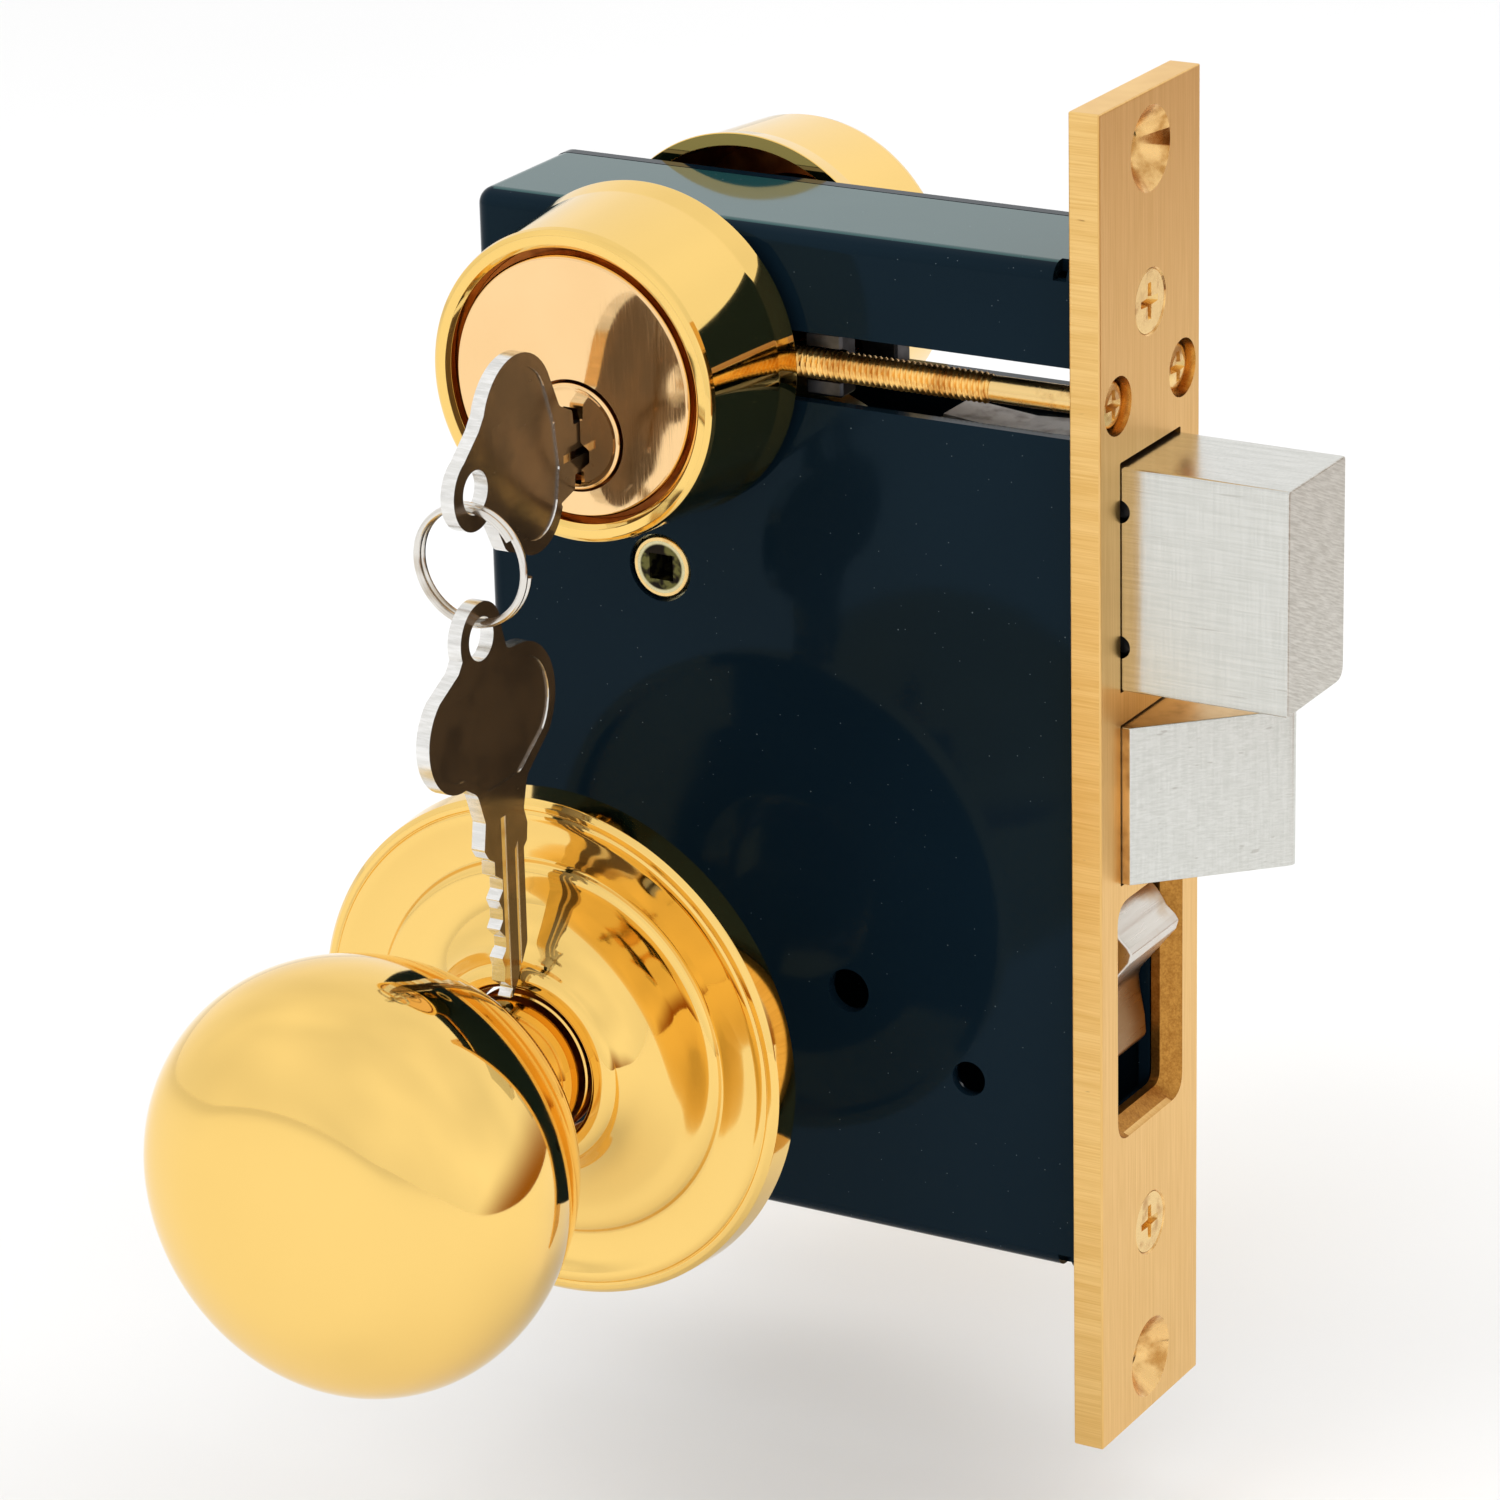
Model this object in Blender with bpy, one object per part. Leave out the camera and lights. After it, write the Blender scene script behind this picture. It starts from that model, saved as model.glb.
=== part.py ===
"""Mortise lock with knobs, two cylinders, keys and trim. Sizes are in millimetres.

Frame: X = 0 is the faceplate's outer face and +X the way the bolts go out, Y = 0 is the middle of the case
with the key side at -Y, and Z = 0 is half way up the faceplate.
"""

import math

import bmesh
import bpy
from mathutils import Vector

MM = 0.001
GAP = 0.3

# Faceplate: 8 in by 1-1/4 in.
PLATE_HIGH = 203.2
PLATE_WIDE = 31.75
PLATE_THICK = 4.8
PLATE_POCKET = 0.6
DOOR_SCREW_Z = 93.1
ARMOUR_SCREW_Z = 71.0

# Case: about 6 in high, 4 in deep and 1 in thick.
CASE_FRONT = -4.5
CASE_REAR = -104.2
CASE_TOP = 78.6
CASE_BOTTOM = -75.4
CASE_HALF = 12.5
SHEET = 1.8
FOLD = 2.6
PAN_INSIDE = -CASE_HALF + SHEET
COVER_INSIDE = CASE_HALF - SHEET

# Axes across the case.
AXIS_X = -74.0
CYLINDER_Z = 58.5
PLUG_DROP = 7.2
PLUG_Z = CYLINDER_Z - PLUG_DROP
THUMB_Z = 24.4
KNOB_Z = -38.5
SET_SCREW_Y = 10.3

# Deadbolt: 1 in throw.
BOLT_HALF = 9.4
BOLT_LOW = 15.9
BOLT_HIGH = 49.3
BOLT_OUT = 26.0
BOLT_REAR = -34.0
BOLT_THROW = 25.4
THUMB_ARM = 22.0

# Latch: 3/4 in throw.
LATCH_LOW = -13.7
LATCH_HIGH = 10.4
LATCH_OUT = 19.05
LATCH_REAR = -20.0
LATCH_THROW = 19.05
ROD_Z = -1.6
WING_ARM = 20.0

# Stop works.
STOP_LOW = -54.2
STOP_HIGH = -16.6
ROCKER_X = -8.5
ROCKER_Z = -35.0

# Trim. The y values are distances from the middle of the case.
COLLAR_BACK = 14.6
COLLAR_FRONT = 35.9
CYLINDER_FACE = 35.5
CYLINDER_BACK = 7.6
ROSE_BACK = 44.0
ROSE_FRONT = 49.2
BOSS_FRONT = 57.0
KNOB_FRONT = 118.5

# Keys: both hang in the plane across the plug's axis.
KEY_X = AXIS_X
KEY_HALF = 1.1
RING_Y = -63.4
RING_Z = 40.4
RING_RADIUS = 8.6
RING_WIRE = 0.55
RING_SEAT = 1.05
HOLE_RADIUS = 3.2
HOLE_Z = RING_Z + RING_RADIUS - RING_SEAT + HOLE_RADIUS
HANG_Z = RING_Z - RING_RADIUS + RING_SEAT - HOLE_RADIUS


def clear_scene():
    for item in list(bpy.data.objects):
        bpy.data.objects.remove(item, do_unlink=True)


def finish(name, colour, roughness, metallic):
    """A plain Principled material."""
    made = bpy.data.materials.get(name)
    if made:
        return made
    made = bpy.data.materials.new(name)
    made.use_nodes = True
    shader = made.node_tree.nodes["Principled BSDF"]
    shader.inputs["Base Color"].default_value = (*colour, 1.0)
    shader.inputs["Roughness"].default_value = roughness
    shader.inputs["Metallic"].default_value = metallic
    return made


def satin_brass():
    return finish("satin_brass", (0.72, 0.47, 0.20), 0.34, 1.0)


def polished_brass():
    return finish("polished_brass", (0.86, 0.60, 0.22), 0.10, 1.0)


def brass_insides():
    return finish("brass_insides", (0.62, 0.42, 0.20), 0.42, 1.0)


def nickel():
    return finish("satin_nickel", (0.66, 0.65, 0.62), 0.30, 1.0)


def blue_enamel():
    return finish("blue_enamel", (0.012, 0.028, 0.045), 0.22, 0.0)


def bare_steel():
    return finish("bare_steel", (0.42, 0.42, 0.43), 0.38, 1.0)


def dark_steel():
    return finish("dark_steel", (0.10, 0.10, 0.11), 0.45, 1.0)


def spring_steel():
    return finish("spring_steel", (0.30, 0.30, 0.32), 0.30, 1.0)


def keyed(a, b, along, axis):
    """A point from its two flat coordinates and its place along the axis, in X, Y, Z order."""
    if axis == "X":
        return (along, a, b)
    if axis == "Y":
        return (a, along, b)
    return (a, b, along)


def solid(name, points, faces, material=None, origin=(0, 0, 0), smooth=None):
    """A closed mesh from points in millimetres, with its object placed at origin."""
    mesh = bpy.data.meshes.new(name)
    start = Vector(origin)
    mesh.from_pydata([(Vector(p) - start) * MM for p in points], [], faces)
    work = bmesh.new()
    work.from_mesh(mesh)
    bmesh.ops.recalc_face_normals(work, faces=work.faces)
    work.to_mesh(mesh)
    work.free()
    if smooth is not None:
        mesh.shade_smooth()
        mesh.set_sharp_from_angle(angle=math.radians(smooth))
    made = bpy.data.objects.new(name, mesh)
    made.location = start * MM
    bpy.context.scene.collection.objects.link(made)
    if material:
        mesh.materials.append(material)
    return made


def prism(name, outline, axis, low, high, material=None, origin=(0, 0, 0), smooth=None):
    """A flat outline pushed along an axis."""
    count = len(outline)
    points = [keyed(a, b, low, axis) for a, b in outline]
    points += [keyed(a, b, high, axis) for a, b in outline]
    faces = [tuple(range(count)), tuple(range(2 * count - 1, count - 1, -1))]
    for i in range(count):
        j = (i + 1) % count
        faces.append((i, i + count, j + count, j))
    return solid(name, points, faces, material, origin, smooth)


def block(name, x, y, z, material=None, origin=(0, 0, 0)):
    """A box from its (low, high) pairs."""
    outline = [(x[0], z[0]), (x[1], z[0]), (x[1], z[1]), (x[0], z[1])]
    return prism(name, outline, "Y", y[0], y[1], material, origin)


def turning(name, profile, axis, centre, steps, material=None, origin=None, smooth=35):
    """A lathe shape: profile holds (radius, place along the axis), closed or ending on the axis."""
    rings = []
    points = []
    for radius, along in profile:
        if radius < 1e-6:
            rings.append([len(points)])
            points.append(keyed(centre[0], centre[1], along, axis))
            continue
        ring = []
        for i in range(steps):
            angle = 2 * math.pi * i / steps
            ring.append(len(points))
            a = centre[0] + radius * math.cos(angle)
            b = centre[1] + radius * math.sin(angle)
            points.append(keyed(a, b, along, axis))
        rings.append(ring)
    pairs = list(zip(rings, rings[1:]))
    if len(rings[0]) > 1 and len(rings[-1]) > 1:
        pairs.append((rings[-1], rings[0]))
    faces = []
    for first, second in pairs:
        for i in range(steps):
            j = (i + 1) % steps
            if len(first) == 1:
                faces.append((first[0], second[j], second[i]))
            elif len(second) == 1:
                faces.append((first[i], first[j], second[0]))
            else:
                faces.append((first[i], first[j], second[j], second[i]))
    if origin is None:
        origin = keyed(centre[0], centre[1], 0.0, axis)
    return solid(name, points, faces, material, origin, smooth)


def peg(name, radius, axis, centre, low, high, steps, material=None, origin=None):
    """A plain round bar."""
    profile = [(0, low), (radius, low), (radius, high), (0, high)]
    return turning(name, profile, axis, centre, steps, material, origin)


def rounded(a, b, radius, steps=4):
    """The outline of a rectangle with round corners."""
    outline = []
    corners = ((a[1], b[1], 0), (a[0], b[1], 90), (a[0], b[0], 180), (a[1], b[0], 270))
    for corner_a, corner_b, start in corners:
        centre_a = corner_a - math.copysign(radius, corner_a - a[0] - 1e-9)
        centre_b = corner_b - math.copysign(radius, corner_b - b[0] - 1e-9)
        for i in range(steps + 1):
            angle = math.radians(start + 90 * i / steps)
            outline.append((centre_a + radius * math.cos(angle), centre_b + radius * math.sin(angle)))
    return outline


def arc(centre, radius, start, end, steps):
    """Points along an arc, angles in degrees."""
    found = []
    for i in range(steps + 1):
        angle = math.radians(start + (end - start) * i / steps)
        found.append((centre[0] + radius * math.cos(angle), centre[1] + radius * math.sin(angle)))
    return found


def as_tool(made):
    made.hide_render = True
    made.display_type = "WIRE"
    return made


def boolean(target, made, operation):
    step = target.modifiers.new(made.name, "BOOLEAN")
    step.operation = operation
    step.solver = "EXACT"
    step.object = as_tool(made)


def cut(target, *tools):
    for made in tools:
        boolean(target, made, "DIFFERENCE")


def join(target, *tools):
    for made in tools:
        boolean(target, made, "UNION")


def soften(target, width, angle=40, segments=1):
    """Breaks the sharp edges. It goes before the Booleans."""
    step = target.modifiers.new("broken_edges", "BEVEL")
    step.width = width * MM
    step.segments = segments
    step.limit_method = "ANGLE"
    step.angle_limit = math.radians(angle)


def fold_edges(target, chosen, width, segments):
    """Rounds the edges whose two ends both satisfy chosen."""
    mesh = target.data
    weights = mesh.attributes.new("bevel_weight_edge", "FLOAT", "EDGE")
    for edge in mesh.edges:
        first, second = (mesh.vertices[i].co + target.location for i in edge.vertices)
        if chosen(first / MM, second / MM):
            weights.data[edge.index].value = 1.0
    step = target.modifiers.new("folds", "BEVEL")
    step.width = width * MM
    step.segments = segments
    step.limit_method = "WEIGHT"


def cross_recess(name, place, axis, mouth, depth, size):
    """A cross-shaped driver recess: mouth is the face it opens on, depth how far it goes in."""
    a, b = place
    inner = mouth + depth
    low, high = sorted((inner, mouth - math.copysign(1.0, depth)))
    wide = 0.45
    outline = [
        (a - size, b - wide), (a - wide, b - wide), (a - wide, b - size), (a + wide, b - size),
        (a + wide, b - wide), (a + size, b - wide), (a + size, b + wide), (a + wide, b + wide),
        (a + wide, b + size), (a - wide, b + size), (a - wide, b + wide), (a - size, b + wide),
    ]
    return prism(name, outline, axis, low, high)


# ---------------------------------------------------------------- faceplate and its screws


def faceplate():
    half = PLATE_WIDE / 2
    tall = PLATE_HIGH / 2
    plate = block("faceplate", (-PLATE_THICK, 0), (-half, half), (-tall, tall), satin_brass())
    soften(plate, 0.3)
    pocket = (-12.9, 12.9)
    cut(plate, block("t_pocket", (-9, -PLATE_THICK + PLATE_POCKET), pocket, (-75.8, 79.0)))
    for side in (1, -1):
        z = side * DOOR_SCREW_Z
        profile = [(0, -6), (2.7, -6), (2.7, -3.3), (6.6, 0.6), (0, 0.6)]
        cut(plate, turning(f"t_door_screw_{side}", profile, "X", (0, z), 24))
        z = side * ARMOUR_SCREW_Z
        profile = [(0, -6), (2.5, -6), (2.5, -2.6), (5.3, 0.4), (0, 0.4)]
        cut(plate, turning(f"t_armour_{side}", profile, "X", (0, z), 24))
        place = (side * SET_SCREW_Y, CYLINDER_Z)
        cut(plate, peg(f"t_set_screw_{side}", 4.3, "X", place, -6, 1, 20))
    sides = (-BOLT_HALF - GAP, BOLT_HALF + GAP)
    cut(plate, block("t_bolt_window", (-6, 1), sides, (BOLT_LOW - GAP, BOLT_HIGH + GAP)))
    cut(plate, block("t_latch_window", (-6, 1), sides, (LATCH_LOW - GAP, LATCH_HIGH + GAP)))
    cut(plate, stop_window_tool())
    return plate


def stop_window_tool():
    """The stop window: a wide chamfer on a round-cornered opening."""
    outer = rounded((-12.3, 12.3), (STOP_LOW - 1.6, STOP_HIGH + 1.6), 4.6)
    mouth = rounded((-10.7, 10.7), (STOP_LOW, STOP_HIGH), 3.4)
    throat = rounded((-8.8, 8.8), (STOP_LOW + 1.9, STOP_HIGH - 1.9), 2.0)
    stations = ((2.4, outer), (0.0, mouth), (-2.8, throat), (-6.0, throat))
    count = len(mouth)
    points = []
    for x, outline in stations:
        points += [(x, y, z) for y, z in outline]
    faces = [tuple(range(count)), tuple(range(4 * count - 1, 3 * count - 1, -1))]
    for level in range(3):
        base = level * count
        for i in range(count):
            j = (i + 1) % count
            faces.append((base + i, base + i + count, base + j + count, base + j))
    return solid("t_stop_window", points, faces)


def armour_screw(name, z):
    profile = [(0, -15.0), (1.9, -15.0), (1.9, -2.7), (4.7, -0.15), (0, -0.15)]
    screw = turning(name, profile, "X", (0, z), 20, satin_brass())
    cut(screw, cross_recess(f"t_{name}", (0, z), "X", -0.15, -1.6, 2.4))
    return screw


def faceplate_lug(name, z):
    lug = block(name, (-18.0, CASE_FRONT - SHEET - GAP), (-10.4, 10.4), (z - 2.3, z + 4.8), dark_steel())
    soften(lug, 0.4)
    cut(lug, peg(f"t_{name}", 2.2, "X", (0, z), -20, -4, 16))
    return lug


def set_screw(name, side):
    place = (side * SET_SCREW_Y, CYLINDER_Z)
    profile = [
        (0, -60.2), (1.5, -60.2), (2.3, -59.3), (2.3, -3.6), (3.75, -3.6), (3.75, -1.5), (3.0, -0.7), (0, -0.6),
    ]
    screw = turning(name, profile, "X", place, 18, satin_brass())
    cut(screw, cross_recess(f"t_{name}", place, "X", -0.6, -1.7, 2.2))
    return screw


def set_screw_lug(name, side):
    y = sorted((side * 6.0, side * 10.4))
    lug = block(name, (-50.0, -44.0), y, (53.7, 63.3), dark_steel())
    soften(lug, 0.4)
    cut(lug, peg(f"t_{name}", 2.6, "X", (side * SET_SCREW_Y, CYLINDER_Z), -52, -42, 18))
    return lug


# ---------------------------------------------------------------- case


def case_side_cuts(target, tag, side):
    """Holes that both sides of the case have. side is -1 for the pan and 1 for the cover."""
    wall = sorted((side * 9.0, side * 14.0))
    cut(target, peg(f"t_{tag}_cylinder", 15.0, "Y", (AXIS_X, CYLINDER_Z), *wall, 34))
    slot = rounded((AXIS_X, 2.0), (CYLINDER_Z - 5.2, CYLINDER_Z + 5.2), 0.6, 1)
    cut(target, prism(f"t_{tag}_slot", slot, "Y", *wall))
    cut(target, peg(f"t_{tag}_thumb", 5.2, "Y", (AXIS_X, THUMB_Z), *wall, 24))
    cut(target, peg(f"t_{tag}_knob", 10.2, "Y", (AXIS_X, KNOB_Z), *wall, 32))
    cut(target, peg(f"t_{tag}_small", 2.7, "Y", (-23.6, -47.6), *wall, 18))
    cut(target, peg(f"t_{tag}_middle", 3.4, "Y", (-43.6, -37.3), *wall, 18))


def case_pan():
    pan = block("case_pan", (CASE_REAR, CASE_FRONT), (-CASE_HALF, 10.4), (CASE_BOTTOM, CASE_TOP), blue_enamel())

    def folded(first, second):
        near = all(abs(p.y + CASE_HALF) < 0.01 for p in (first, second))
        front = all(abs(p.x - CASE_FRONT) < 0.01 for p in (first, second))
        rear = all(abs(p.x - CASE_REAR) < 0.01 for p in (first, second))
        crossing = abs(first.y - second.y) > 1
        return (near and not front) or (rear and crossing)

    fold_edges(pan, folded, FOLD, 3)
    inner = block(
        "t_pan_room",
        (CASE_REAR + SHEET, CASE_FRONT - SHEET),
        (PAN_INSIDE, 14.0),
        (CASE_BOTTOM + SHEET, CASE_TOP - SHEET),
    )
    cut(pan, inner)
    case_side_cuts(pan, "pan", -1)
    x = (CASE_FRONT - SHEET - 1, 1)
    sides = (-BOLT_HALF - GAP, BOLT_HALF + GAP)
    cut(pan, block("t_pan_bolt", x, sides, (BOLT_LOW - GAP, BOLT_HIGH + GAP)))
    cut(pan, block("t_pan_latch", x, sides, (LATCH_LOW - GAP, LATCH_HIGH + GAP)))
    cut(pan, block("t_pan_stop", x, (-8.8, 8.8), (STOP_LOW + 0.4, STOP_HIGH - 0.4)))
    for side in (1, -1):
        cut(pan, peg(f"t_pan_armour_{side}", 2.7, "X", (0, side * ARMOUR_SCREW_Z), *x, 20))
        y = sorted((side * 7.4, side * 14.0))
        cut(pan, block(f"t_pan_set_{side}", x, y, (CYLINDER_Z - 3.0, CYLINDER_Z + 3.0)))
    notch = (-9.0, -6.9)
    cut(pan, block("t_notch_top", notch, (-14, -9.4), (76.2, 80)))
    cut(pan, block("t_notch_bottom", notch, (-14, -9.4), (-77, -73.0)))
    return pan


POSTS = {"rear_top": (-97.0, 71.0), "rear_low": (-97.0, -68.0), "front_top": (-28.0, 71.0), "front_low": (-28.0, -68.0)}


def case_cover():
    outline = [(CASE_FRONT, CASE_BOTTOM)]
    outline += [(CASE_FRONT, CASE_TOP)]
    outline += arc((CASE_REAR + FOLD, CASE_TOP - FOLD), FOLD, 90, 180, 3)
    outline += arc((CASE_REAR + FOLD, CASE_BOTTOM + FOLD), FOLD, 180, 270, 3)
    cover = prism("case_cover", outline, "Y", COVER_INSIDE, CASE_HALF, blue_enamel())
    soften(cover, 0.25, 60)
    case_side_cuts(cover, "cover", 1)
    for tag, (x, z) in POSTS.items():
        profile = [(0, 9), (1.7, 9), (1.7, 11.4), (3.5, 12.8), (0, 12.8)]
        cut(cover, turning(f"t_cover_{tag}", profile, "Y", (x, z), 16))
    return cover


def case_posts():
    for tag, (x, z) in POSTS.items():
        post = peg(f"post_{tag}", 3.6, "Y", (x, z), -10.4, 10.4, 20, dark_steel())
        cut(post, peg(f"t_post_{tag}", 1.7, "Y", (x, z), 1.0, 12.0, 14))
        profile = [(0, 3.0), (1.4, 3.0), (1.4, 11.5), (2.75, 12.4), (0, 12.4)]
        screw = turning(f"cover_screw_{tag}", profile, "Y", (x, z), 16, bare_steel())
        cut(screw, block(f"t_cover_screw_{tag}", (x - 4, x + 4), (11.6, 13), (z - 0.35, z + 0.35)))


# ---------------------------------------------------------------- cylinders, plugs and collars


def collar(name, side):
    profile = [
        (25.1, COLLAR_BACK), (24.9, 15.8), (24.3, 18.5), (23.2, 34.6), (22.9, 35.5), (22.4, COLLAR_FRONT),
        (20.9, COLLAR_FRONT), (20.3, 35.3), (20.3, 32.2), (15.1, 32.2), (15.1, 30.4), (20.4, 30.4),
        (22.6, 19.0), (23.1, COLLAR_BACK),
    ]
    profile = [(radius, side * y) for radius, y in profile]
    return turning(name, profile, "Y", (AXIS_X, CYLINDER_Z), 38, polished_brass())


def cylinder_body(name, side):
    profile = [
        (0, CYLINDER_BACK), (14.7, CYLINDER_BACK), (14.7, 32.5), (19.3, 32.5), (19.3, 35.1), (18.9, CYLINDER_FACE),
        (0, CYLINDER_FACE),
    ]
    profile = [(radius, side * y) for radius, y in profile]
    body = turning(name, profile, "Y", (AXIS_X, CYLINDER_Z), 38, satin_brass())
    bore = [(0, 6), (6.65, 6), (6.65, 33.2), (8.3, 33.2), (8.3, 37), (0, 37)]
    bore = [(radius, side * y) for radius, y in bore]
    cut(body, turning(f"t_{name}_bore", bore, "Y", (AXIS_X, PLUG_Z), 26))
    y = sorted((side * 6.0, side * 27.0))
    cut(body, block(f"t_{name}_groove", (-61.0, -57.0), y, (CYLINDER_Z - 3.1, CYLINDER_Z + 3.1)))
    return body


def plug(name, side):
    """The turning core, with its keyway open at the bottom."""
    profile = [
        (0, CYLINDER_BACK), (6.35, CYLINDER_BACK), (6.35, 33.5), (7.9, 33.5), (7.9, 35.9), (7.5, 36.3), (7.1, 35.9),
        (0, 35.9),
    ]
    profile = [(radius, side * y) for radius, y in profile]
    core = turning(name, profile, "Y", (AXIS_X, PLUG_Z), 26, satin_brass())
    half = KEY_HALF + GAP
    low, high = PLUG_Z - 7.0, PLUG_Z + 4.3
    outline = [
        (-half, low), (half, low), (half, low + 2.2), (half + 1.4, low + 3.4), (half + 1.4, low + 5.2),
        (half, low + 6.2), (half, high - 1.5), (half - 0.5, high), (-half, high),
    ]
    outline = [(AXIS_X + a, b) for a, b in outline]
    y = sorted((side * 12.0, side * 38.0))
    cut(core, prism(f"t_{name}_keyway", outline, "Y", *y))
    y = sorted((side * 6.0, side * 11.6))
    cut(core, peg(f"t_{name}_tap", 1.7, "Y", (AXIS_X, PLUG_Z), *y, 14))
    return core


def cam(name, side):
    """The cam on the plug's inner end, its lobe up while the key can be drawn."""
    centre = (AXIS_X, PLUG_Z)
    outline = arc(centre, 6.0, 130, 410, 14)
    outline += [(AXIS_X + 2.6, PLUG_Z + 9.4)]
    outline += arc((AXIS_X, PLUG_Z + 9.4), 2.2, 20, 160, 4)
    outline += [(AXIS_X - 2.6, PLUG_Z + 9.4)]
    y = sorted((side * 5.0, side * 7.3))
    made = prism(name, outline, "Y", *y, dark_steel(), (AXIS_X, 0, PLUG_Z))
    profile = [(0, 4.0), (3.2, 4.0), (3.2, 5.9), (1.7, 6.6), (1.7, 8.5), (0, 8.5)]
    profile = [(radius, side * place) for radius, place in profile]
    cut(made, turning(f"t_{name}", profile, "Y", centre, 16))
    return made


def cam_screw(name, side):
    """The screw that holds the cam to the plug, its head sunk in the cam."""
    profile = [(0, 5.1), (2.9, 5.1), (2.9, 5.8), (1.4, 6.5), (1.4, 11.3), (0, 11.3)]
    profile = [(radius, side * place) for radius, place in profile]
    screw = turning(name, profile, "Y", (AXIS_X, PLUG_Z), 16, bare_steel())
    y = sorted((side * 4.0, side * 5.7))
    cut(screw, block(f"t_{name}", (AXIS_X - 4, AXIS_X + 4), y, (PLUG_Z - 0.35, PLUG_Z + 0.35)))
    return screw


# ---------------------------------------------------------------- bolts


def deadbolt():
    outline = [(BOLT_REAR, BOLT_LOW), (BOLT_OUT, BOLT_LOW), (BOLT_OUT, BOLT_HIGH), (BOLT_REAR, BOLT_HIGH)]
    bolt = prism("deadbolt", outline, "Y", -BOLT_HALF, BOLT_HALF, nickel())
    soften(bolt, 0.5, segments=2)
    cut(bolt, block("t_bolt_fork", (-38, -20.0), (-2.5, 2.5), (20.0, 46.0)))
    for tag, z in (("low", 22.5), ("high", 42.7)):
        cut(bolt, peg(f"t_bolt_pin_{tag}", 2.5, "Y", (0.2, z), -12, 12, 16))
        peg(f"hard_pin_{tag}", 2.2, "Y", (0.2, z), -8.7, 8.7, 14, dark_steel())
    for tag, x in (("front", -24.0), ("rear", -30.0)):
        cut(bolt, peg(f"t_bolt_rivet_{tag}", 1.8, "Y", (x, 33.0), -12, 12, 14))
    return bolt


def bolt_tail():
    """The flat tail: it is riveted in the bolt's fork, and the thumb-turn pin works in its slot."""
    outline = [
        (-20.3, 20.3), (-20.3, 45.7), (-40.0, 45.7), (-54.0, 52.0), (-70.5, 52.0), (-70.5, 35.5), (-45.0, 35.5),
        (-39.0, 30.0), (-39.0, 20.3),
    ]
    tail = prism("bolt_tail", outline, "Y", -2.2, 2.2, bare_steel())
    slot_x = AXIS_X + BOLT_THROW / 2
    cut(tail, block("t_tail_slot", (slot_x - 2.85, slot_x + 2.85), (-4, 4), (30, 49.6)))
    for tag, x in (("front", -24.0), ("rear", -30.0)):
        cut(tail, peg(f"t_tail_rivet_{tag}", 1.8, "Y", (x, 33.0), -4, 4, 14))
        peg(f"bolt_rivet_{tag}", 1.5, "Y", (x, 33.0), -9.2, 9.2, 14, bare_steel())
    return tail


def thumb_hub():
    """The thumb-turn hub, its journals in both sides of the case and its arm's pin in the tail's slot."""
    centre = (AXIS_X, THUMB_Z)
    origin = (AXIS_X, 0, THUMB_Z)
    profile = [(0, -12.2), (4.5, -12.2), (4.9, -11.8), (4.9, -10.4), (7.6, -10.4), (7.6, 10.4), (4.9, 10.4)]
    profile += [(4.9, 11.8), (4.5, 12.2), (0, 12.2)]
    hub = turning("thumb_hub", profile, "Y", centre, 28, brass_insides(), origin)
    lean = math.asin(BOLT_THROW / 2 / THUMB_ARM)
    along = Vector((math.sin(lean), math.cos(lean)))
    across = Vector((along.y, -along.x))
    start = Vector(centre)
    tip = start + along * THUMB_ARM
    heading = math.degrees(math.atan2(along.y, along.x))
    arm = [tuple(start - across * 5.5), tuple(start + across * 5.5)]
    arm += arc(tuple(tip), 3.6, heading - 90, heading + 90, 6)
    join(hub, prism("t_thumb_arm", arm, "Y", -4.7, -2.5, origin=origin))
    join(hub, peg("t_thumb_pin", 2.5, "Y", tuple(tip), -3.6, 2.4, 18, origin=origin))
    side = 1.98
    square = [(AXIS_X - side, THUMB_Z - side), (AXIS_X + side, THUMB_Z - side)]
    square += [(AXIS_X + side, THUMB_Z + side), (AXIS_X - side, THUMB_Z + side)]
    cut(hub, prism("t_thumb_square", square, "Y", -14, 14))
    return hub


def drag_spring():
    """A bent strip that rubs the bolt's top so that it stays where it is put."""
    low = BOLT_HIGH + GAP
    outline = [
        (-8.0, low + 0.6), (-8.0, low + 3.4), (-8.8, low + 3.4), (-9.0, low + 1.5), (-20.0, low + 0.8),
        (-31.0, low + 1.9), (-31.2, low + 1.2), (-20.0, low),
    ]
    return prism("drag_spring", outline, "Y", -4.0, 4.0, spring_steel())


def latch_head():
    outline = [
        (LATCH_REAR, -BOLT_HALF), (1.3, -BOLT_HALF), (LATCH_OUT - 0.9, 7.4), (LATCH_OUT - 0.2, 8.2),
        (LATCH_OUT, 8.9), (LATCH_OUT - 0.5, BOLT_HALF), (LATCH_REAR, BOLT_HALF),
    ]
    head = prism("latch_head", outline, "Z", LATCH_LOW, LATCH_HIGH, nickel())
    soften(head, 0.35, 25)
    cut(head, peg("t_latch_socket", 3.3, "X", (0, ROD_Z), -24, -9.7, 18))
    cut(head, peg("t_latch_cross", 1.5, "Z", (-14.0, 0), -16, 12, 12))
    peg("latch_cross_pin", 1.2, "Z", (-14.0, 0), LATCH_LOW + 0.6, ROD_Z - 3.3, 12, bare_steel())
    return head


def latch_tail():
    """A round rod ending in a flat hook behind the hubs' wings."""
    rod = peg("latch_tail", 3.0, "X", (0, ROD_Z), -62.0, -10.0, 18, bare_steel())
    hook_front = AXIS_X + LATCH_THROW / 2 - 2.5 - GAP
    outline = [
        (-58.0, -4.2), (-58.0, 1.2), (hook_front - 5.0, 1.2), (hook_front - 5.0, -20.0), (hook_front, -20.0),
        (hook_front, -7.4), (hook_front + 3.0, -4.2),
    ]
    join(rod, prism("t_latch_hook", outline, "Y", -2.4, 2.4))
    return rod


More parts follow.
